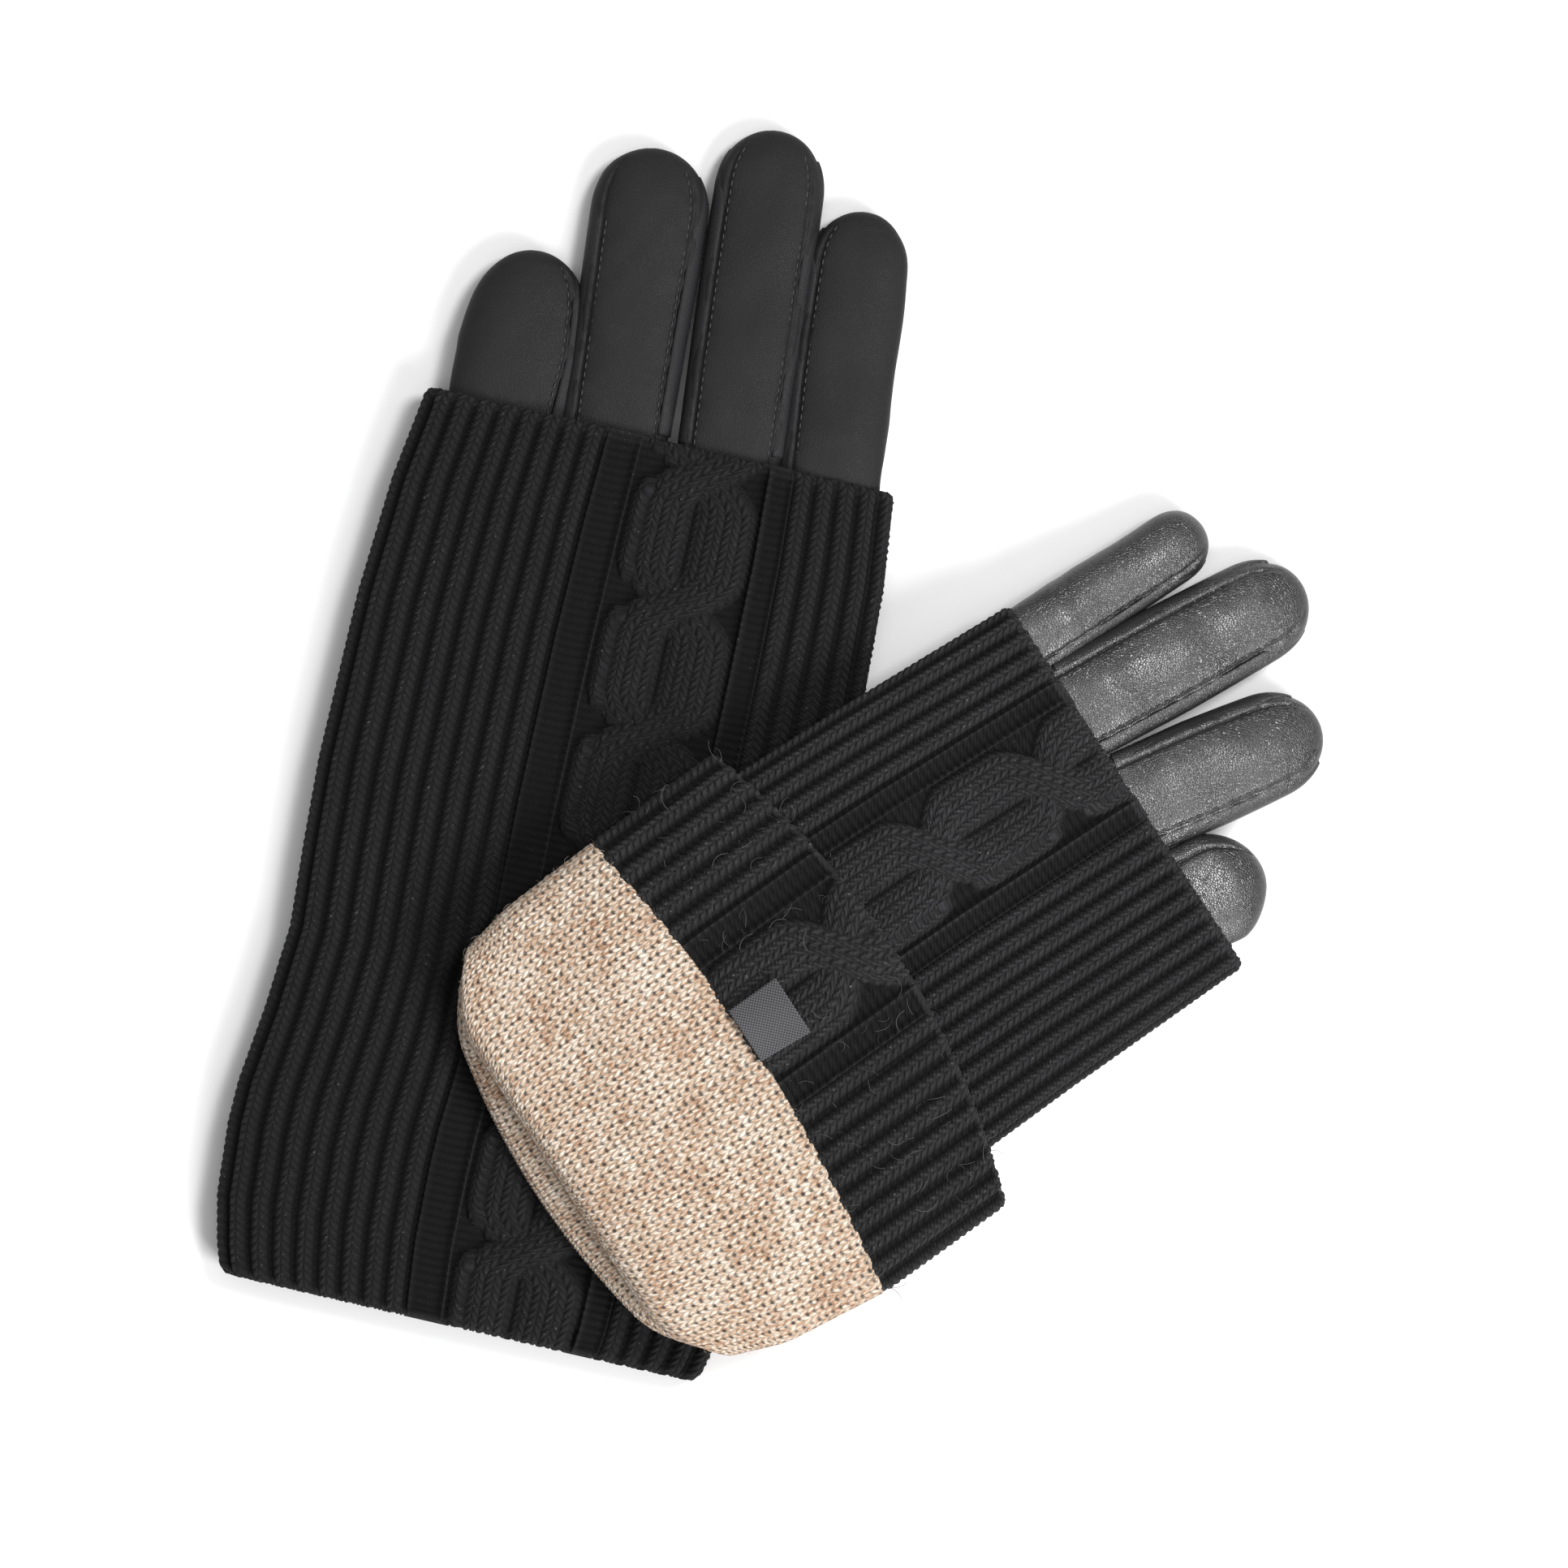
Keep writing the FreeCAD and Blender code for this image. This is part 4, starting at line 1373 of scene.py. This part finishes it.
@dataclass
class RightGlove(Glove):
    """The upper glove, whose cuff is turned back over its own sleeve."""

    floor: float = 22.1
    roof: float = 34.7
    fold_low: float = 17.8
    mid: float = 28.4
    sleeve: tuple[tuple[float, float, float], ...] = (
        (-156.0, -56.0, 49.0), (-110.0, -55.0, 52.0), (-48.0, -51.5, 51.5), (0.0, -50.0, 50.0),
        (5.0, -49.8, 49.8))
    upper: tuple[tuple[float, float, float], ...] = (
        (-162.0, -58.5, 49.5), (-156.0, -60.8, 51.9), (-135.0, -65.5, 55.0), (-111.3, -67.8, 56.8),
        (-75.8, -66.1, 58.8), (-70.0, -66.0, 58.8))
    lower: tuple[tuple[float, float, float], ...] = (
        (-162.0, -58.5, 49.5), (-156.0, -60.8, 51.9), (-135.0, -65.0, 54.5), (-111.3, -66.5, 56.0),
        (-84.0, -65.0, 57.0), (-70.0, -64.5, 57.0))

    def build(self) -> None:
        """Build and dress every piece of the glove."""
        self.build_sleeve()
        self.build_flap()
        self.build_lower_cuff()
        self.build_label()

    def build_sleeve(self) -> None:
        """Knit sleeve, leather hand and lining."""
        section = Section(self.sleeve, lambda u: self.floor + 0.0 * u, lambda u: self.roof + 0.0 * u)
        # The sleeve's knit is the lighter copy, painted light.
        knit = self.finishes.lit_upper_knit
        corners = [(-151.0, 0.3)] + lip(-1.6, 0.0, 3.2, 1.0) + [(-9.0, 3.2)]
        end = [0.55] * 8 + [3.0]
        self.add_back(RIGHT, section, corners, [0.52] + end, RIGHT_BACK, knit, RIGHT_SPLIT, wave=0.5, seed=9)
        self.add_palm(RIGHT, section, corners, [0.88] + end, 241, knit, wave=0.2, seed=9)
        for half in Half:
            self.add_inner(RIGHT, section, half, -150.0, 110, 0.6, 90, self.finishes.right_nappa)

    def flap_section(self) -> Section:
        """Widths and levels of the turned-back upper half."""
        def roof(u: Array) -> Array:
            return np.interp(u, [-160.0, -150.0, -111.3, -75.0], [38.6, 39.2, 39.2, 38.9])

        return Section(self.upper, lambda u: 2.0 * self.mid - roof(u), roof, 3.6,
                       ((-160.0, 0.0), (-111.3, 5.5), (-76.0, 10.0), (-70.0, 10.5)), corner=9.0)

    def build_flap(self) -> None:
        """Turned-back upper half: beige band, black hem and the knit beneath."""
        section = self.flap_section()
        body = "right_upper_cuff"
        jersey = self.finishes.jersey
        fold = lip(-155.6, 8.2, 0.2, -1.0)
        band = self.add(ClothPanel("right_upper_cuff_lining_band", RIGHT, section, Half.BACK,
                                   fold[4:] + [(-111.8, 0.1), (-111.0, 0.9)], [0.6] * 5 + [0.45, 0.5],
                                   330, None, jersey, wave=0.9, wave_scale=38.0, seed=12),
                        body, "right_upper_cuff_lining", "beige_lining")
        # The inner half of the fold stays with the glove, as the mouth that the cuff turns round.
        self.add(ClothPanel("right_cuff_mouth_upper", RIGHT, section, Half.BACK, [(-140.0, 8.2)] + fold[:5],
                            [1.2] + [0.6] * 4, 330, None, jersey, wave=0.9, wave_scale=38.0, seed=12),
                 "right_glove", None, "beige_lining")
        edge = [(-111.9, 1.6), (-111.2, 0.5), (-109.8, 0.0), (-78.5, 0.0)]
        edge += lip(-78.0, 0.0, 3.6, 1.0)[1:] + [(-88.0, 3.6)]
        hem = self.add(ClothPanel("right_upper_cuff_hem_knit", RIGHT, section, Half.BACK, edge,
                                  [0.6, 0.5, 0.46] + [0.5] * 8 + [1.5], 450, FLAP_BACK, self.finishes.hem,
                                  wave=0.9, wave_scale=42.0, seed=12),
                       body, "right_upper_cuff_hem", "turned_hem_knit")
        self.add(ClothPanel("right_upper_cuff_knit_under", RIGHT, section, Half.BACK,
                            [(-151.0, 3.4), (-84.0, 3.6)], [1.5], 120, None, self.finishes.knit,
                            thickness=0.5, wave=0.9, wave_scale=42.0, seed=12),
                 body, "right_upper_cuff_knit", "sleeve_knit", stitched=False)
        for source, word, finish, density, length, slot in (
                (hem, "hem", self.finishes.pale_fibre, 16000.0, 0.0046, "turned_hem_knit"),
                (band, "lining", self.finishes.cream_fibre, 120000.0, 0.0021, "beige_lining")):
            fuzz = fuzz_object(f"right_upper_cuff_{word}_fibres", source, self.trees, finish,
                               density, length, 21)
            dress(fuzz, body, None)

    def build_lower_cuff(self) -> None:
        """Turned-back palm half under the sleeve."""
        section = Section(self.lower, lambda u: self.fold_low + 0.0 * u,
                          lambda u: 2.0 * self.mid - self.fold_low + 0.0 * u, 3.6,
                          ((-160.0, -7.5), (-117.3, -4.0), (-84.0, -4.0)), corner=9.0)
        body = "right_glove"
        self.add(ClothPanel("right_lower_cuff_lining_band", RIGHT, section, Half.PALM,
                            [(-140.0, 8.2)] + lip(-155.6, 8.2, 0.2, -1.0) + [(-117.3, 0.1)],
                            [1.2] + [0.6] * 8 + [0.7], 260, None, self.finishes.jersey, wave=0.2, seed=14),
                 body, "right_lower_cuff_lining", "beige_lining")
        edge = [(-117.2, 0.4)] + lip(-86.0, 0.0, 3.4, 1.0) + [(-95.0, 3.4)]
        self.add(ClothPanel("right_lower_cuff_hem_knit", RIGHT, section, Half.PALM, edge,
                            [0.8] + [0.7] * 8 + [1.5], 240, RIBBED, self.finishes.hem, wave=0.2, seed=15),
                 body, "right_lower_cuff_hem", "turned_hem_knit")
        self.add(ClothPanel("right_lower_cuff_knit_under", RIGHT, section, Half.PALM,
                            [(-154.0, 2.9), (-92.0, 2.9)], [2.0], 100, None, self.finishes.knit,
                            thickness=0.5, wave=0.0),
                 body, "right_lower_cuff_knit", "sleeve_knit", stitched=False)

    def build_label(self) -> None:
        """Plain woven label that stands out from under the beige band."""
        start, end, half_wide, thick, level, shift = -110.5, -97.1, 7.0, 0.5, 42.3, 4.6
        u, v = np.meshgrid(np.linspace(start, end, 36), np.linspace(half_wide, -half_wide, 30), indexing="ij")
        out = u - start
        lift = level + 0.9 * (out / 17.0) ** 2 + 0.35 * np.sin(v * 0.35 + 1.0)
        flat = np.stack([u + shift, v + out * 0.006 * v, lift], -1)
        piece = shell_object("right_cuff_label_tape", RIGHT.place(flat),
                             RIGHT.place(flat - np.array([0.0, 0.0, thick])), self.finishes.tape,
                             np.stack([u, v], -1))
        dress(piece, "right_upper_cuff", "right_cuff_label")


@dataclass
class Fingers:
    """The five fingers of one glove."""

    hand: HandFrame
    finishes: Finishes
    trees: Trees

    def shapes(self) -> list[FingerShape]:
        """Sizes of the four fingers that show."""
        if self.hand.side == "left":
            low = 5.2
            return [
                FingerShape("index", -40.7, 6.0, 63.0, 23.6, 22.5, 11.4, low, (1,), seed=3, sway=-0.6),
                FingerShape("middle", -16.6, 4.7, 77.0, 24.4, 24.5, 11.8, low, (-1, 1), seed=5),
                FingerShape("ring", 11.0, 4.0, 66.5, 25.0, 27.0, 11.6, low, (-1, 1), seed=8, sway=0.4),
                FingerShape("little", 37.3, 0.3, 36.5, 28.0, 22.5, 11.0, low, (-1,), seed=11),
            ]
        low = 22.9
        return [
            FingerShape("index", 41.0, 0.0, 48.0, 16.4, 16.0, 11.0, low, (-1,), seed=13),
            FingerShape("middle", 21.2, -4.5, 60.5, 24.2, 22.5, 11.8, low, (-1, 1), seed=15),
            FingerShape("ring", -4.6, -10.0, 46.5, 24.6, 22.5, 11.6, low, (-1, 1), seed=18),
            FingerShape("little", -31.2, -8.0, 16.0, 25.5, 22.0, 11.0, low, (1,), seed=21),
        ]

    def thumb(self) -> FingerShape:
        """Sizes of the thumb, which lies pressed flat under the palm."""
        if self.hand.side == "left":
            return FingerShape("thumb", -38.0, 15.0, 52.0, 24.0, 20.0, 4.0, 0.5, (-1,),
                               base_u=0.0, crease=0.15)
        return FingerShape("thumb", 30.0, -15.0, 46.0, 22.0, 19.0, 4.2, 17.9, (1,),
                           base_u=0.0, crease=0.15)

    def build(self) -> None:
        """Build the fingers, their strips and seams, and hide their linings."""
        side = self.hand.side
        leather = self.finishes.left_nappa if side == "left" else self.finishes.right_nappa
        strip = self.finishes.left_gusset if side == "left" else self.finishes.right_gusset
        for shape in self.shapes():
            finger = LeatherFinger(self.hand, shape, leather, strip, 2.5 if side == "left" else 2.15)
            body = f"{side}_{shape.name}"
            piece = finger.build(f"{body}_leather_skin")
            dress(piece, body, f"{body}_leather")
            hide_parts(f"{body}_lining")
            for way in shape.gussets:
                edge = "left" if way > 0 else "right"
                band = finger.strip_object(f"{body}_strip_{edge}", way)
                dress(band, body, f"{body}_fourchette_{edge}")
            seams = seam_object(f"{body}_seam_thread", finger.seam_lines(), self.trees, self.finishes.thread)
            dress(seams, body, None)
        self.build_thumb(leather, strip)

    def build_thumb(self, leather: bpy.types.Material, strip: bpy.types.Material) -> None:
        """Build the flat thumb under the palm."""
        side = self.hand.side
        shape = self.thumb()
        start = -73.0 if side == "left" else -45.0
        # The thumb starts at its own root, so its frame is moved back along the hand.
        turn = math.radians(self.hand.angle)
        origin = (self.hand.origin[0] + start * math.cos(turn),
                  self.hand.origin[1] + start * math.sin(turn))
        slope = 0.0 if side == "left" else self.hand.slope
        frame_here = HandFrame(side, origin, self.hand.angle, self.hand.bend - start, slope, 0.5)
        finger = LeatherFinger(frame_here, shape, leather, strip, squareness=3.0)
        body = f"{side}_thumb"
        piece = finger.build(f"{body}_leather_skin")
        dress(piece, body, f"{body}_leather")
        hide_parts(f"{body}_lining")


# ---------------------------------------------------------------- studio

@dataclass
class Studio:
    """Plain pale table, soft lights and the camera straight above."""

    view_width: float = 0.367
    height: float = 2.0
    gloves_height: float = 0.015
    aim: tuple[float, float] = (0.0024, -0.0069)

    def build(self) -> None:
        """Build the table, the lights and the camera."""
        self.table()
        self.lights()
        self.camera()

    def table(self) -> None:
        """White table top under the gloves."""
        size = 3.0
        mesh = bpy.data.meshes.new("table_top")
        mesh.from_pydata([(-size, -size, 0.0), (size, -size, 0.0), (size, size, 0.0), (-size, size, 0.0)],
                         [], [(0, 1, 2, 3)])
        white = {"Base Color": (0.93, 0.93, 0.93, 1.0), "Roughness": 0.9, "Specular IOR Level": 0.1}
        mesh.materials.append(new_material("Matt white board", white)[0])
        board = bpy.data.objects.new("table_top", mesh)
        bpy.context.scene.collection.objects.link(board)

    def lights(self) -> None:
        """Soft key light from the lower right, a smaller one for the leather's gloss, and weak top light."""
        for name, place, size, power in (("key", (0.75, -0.8, 1.15), 0.7, 22.0),
                                         ("gloss", (0.60, 0.39, 1.6), 0.4, 17.0),
                                         ("top", (0.0, 0.0, 1.9), 1.0, 7.0)):
            data = bpy.data.lights.new(name, "AREA")
            data.shape = "SQUARE"
            data.size = size
            data.energy = power
            lamp = bpy.data.objects.new(name, data)
            lamp.location = place
            lamp.rotation_euler = (-Vector(place)).to_track_quat("-Z", "Y").to_euler()
            bpy.context.scene.collection.objects.link(lamp)
        world = bpy.data.worlds.new("Studio white")
        world.use_nodes = True
        sky = world.node_tree.nodes["Background"]
        sky.inputs["Color"].default_value = (1.0, 1.0, 1.0, 1.0)
        sky.inputs["Strength"].default_value = 0.3
        bpy.context.scene.world = world
        bpy.context.scene.view_settings.view_transform = "Standard"

    def camera(self) -> None:
        """Camera straight above, with a long lens."""
        data = bpy.data.cameras.new("overhead")
        data.sensor_width = 36.0
        data.lens = 36.0 * self.height / self.view_width
        data.clip_end = 20.0
        camera = bpy.data.objects.new("overhead", data)
        camera.location = (self.aim[0], self.aim[1], self.height + self.gloves_height)
        bpy.context.scene.collection.objects.link(camera)
        bpy.context.scene.camera = camera


def main() -> None:
    """Build the pair in order."""
    logging.basicConfig(level=logging.INFO, format="%(message)s")
    finishes = Finishes()
    trees = Trees()
    Studio().build()
    LeftGlove(finishes, trees).build()
    Fingers(LEFT, finishes, trees).build()
    RightGlove(finishes, trees).build()
    Fingers(RIGHT, finishes, trees).build()


if __name__ == "__main__":
    main()
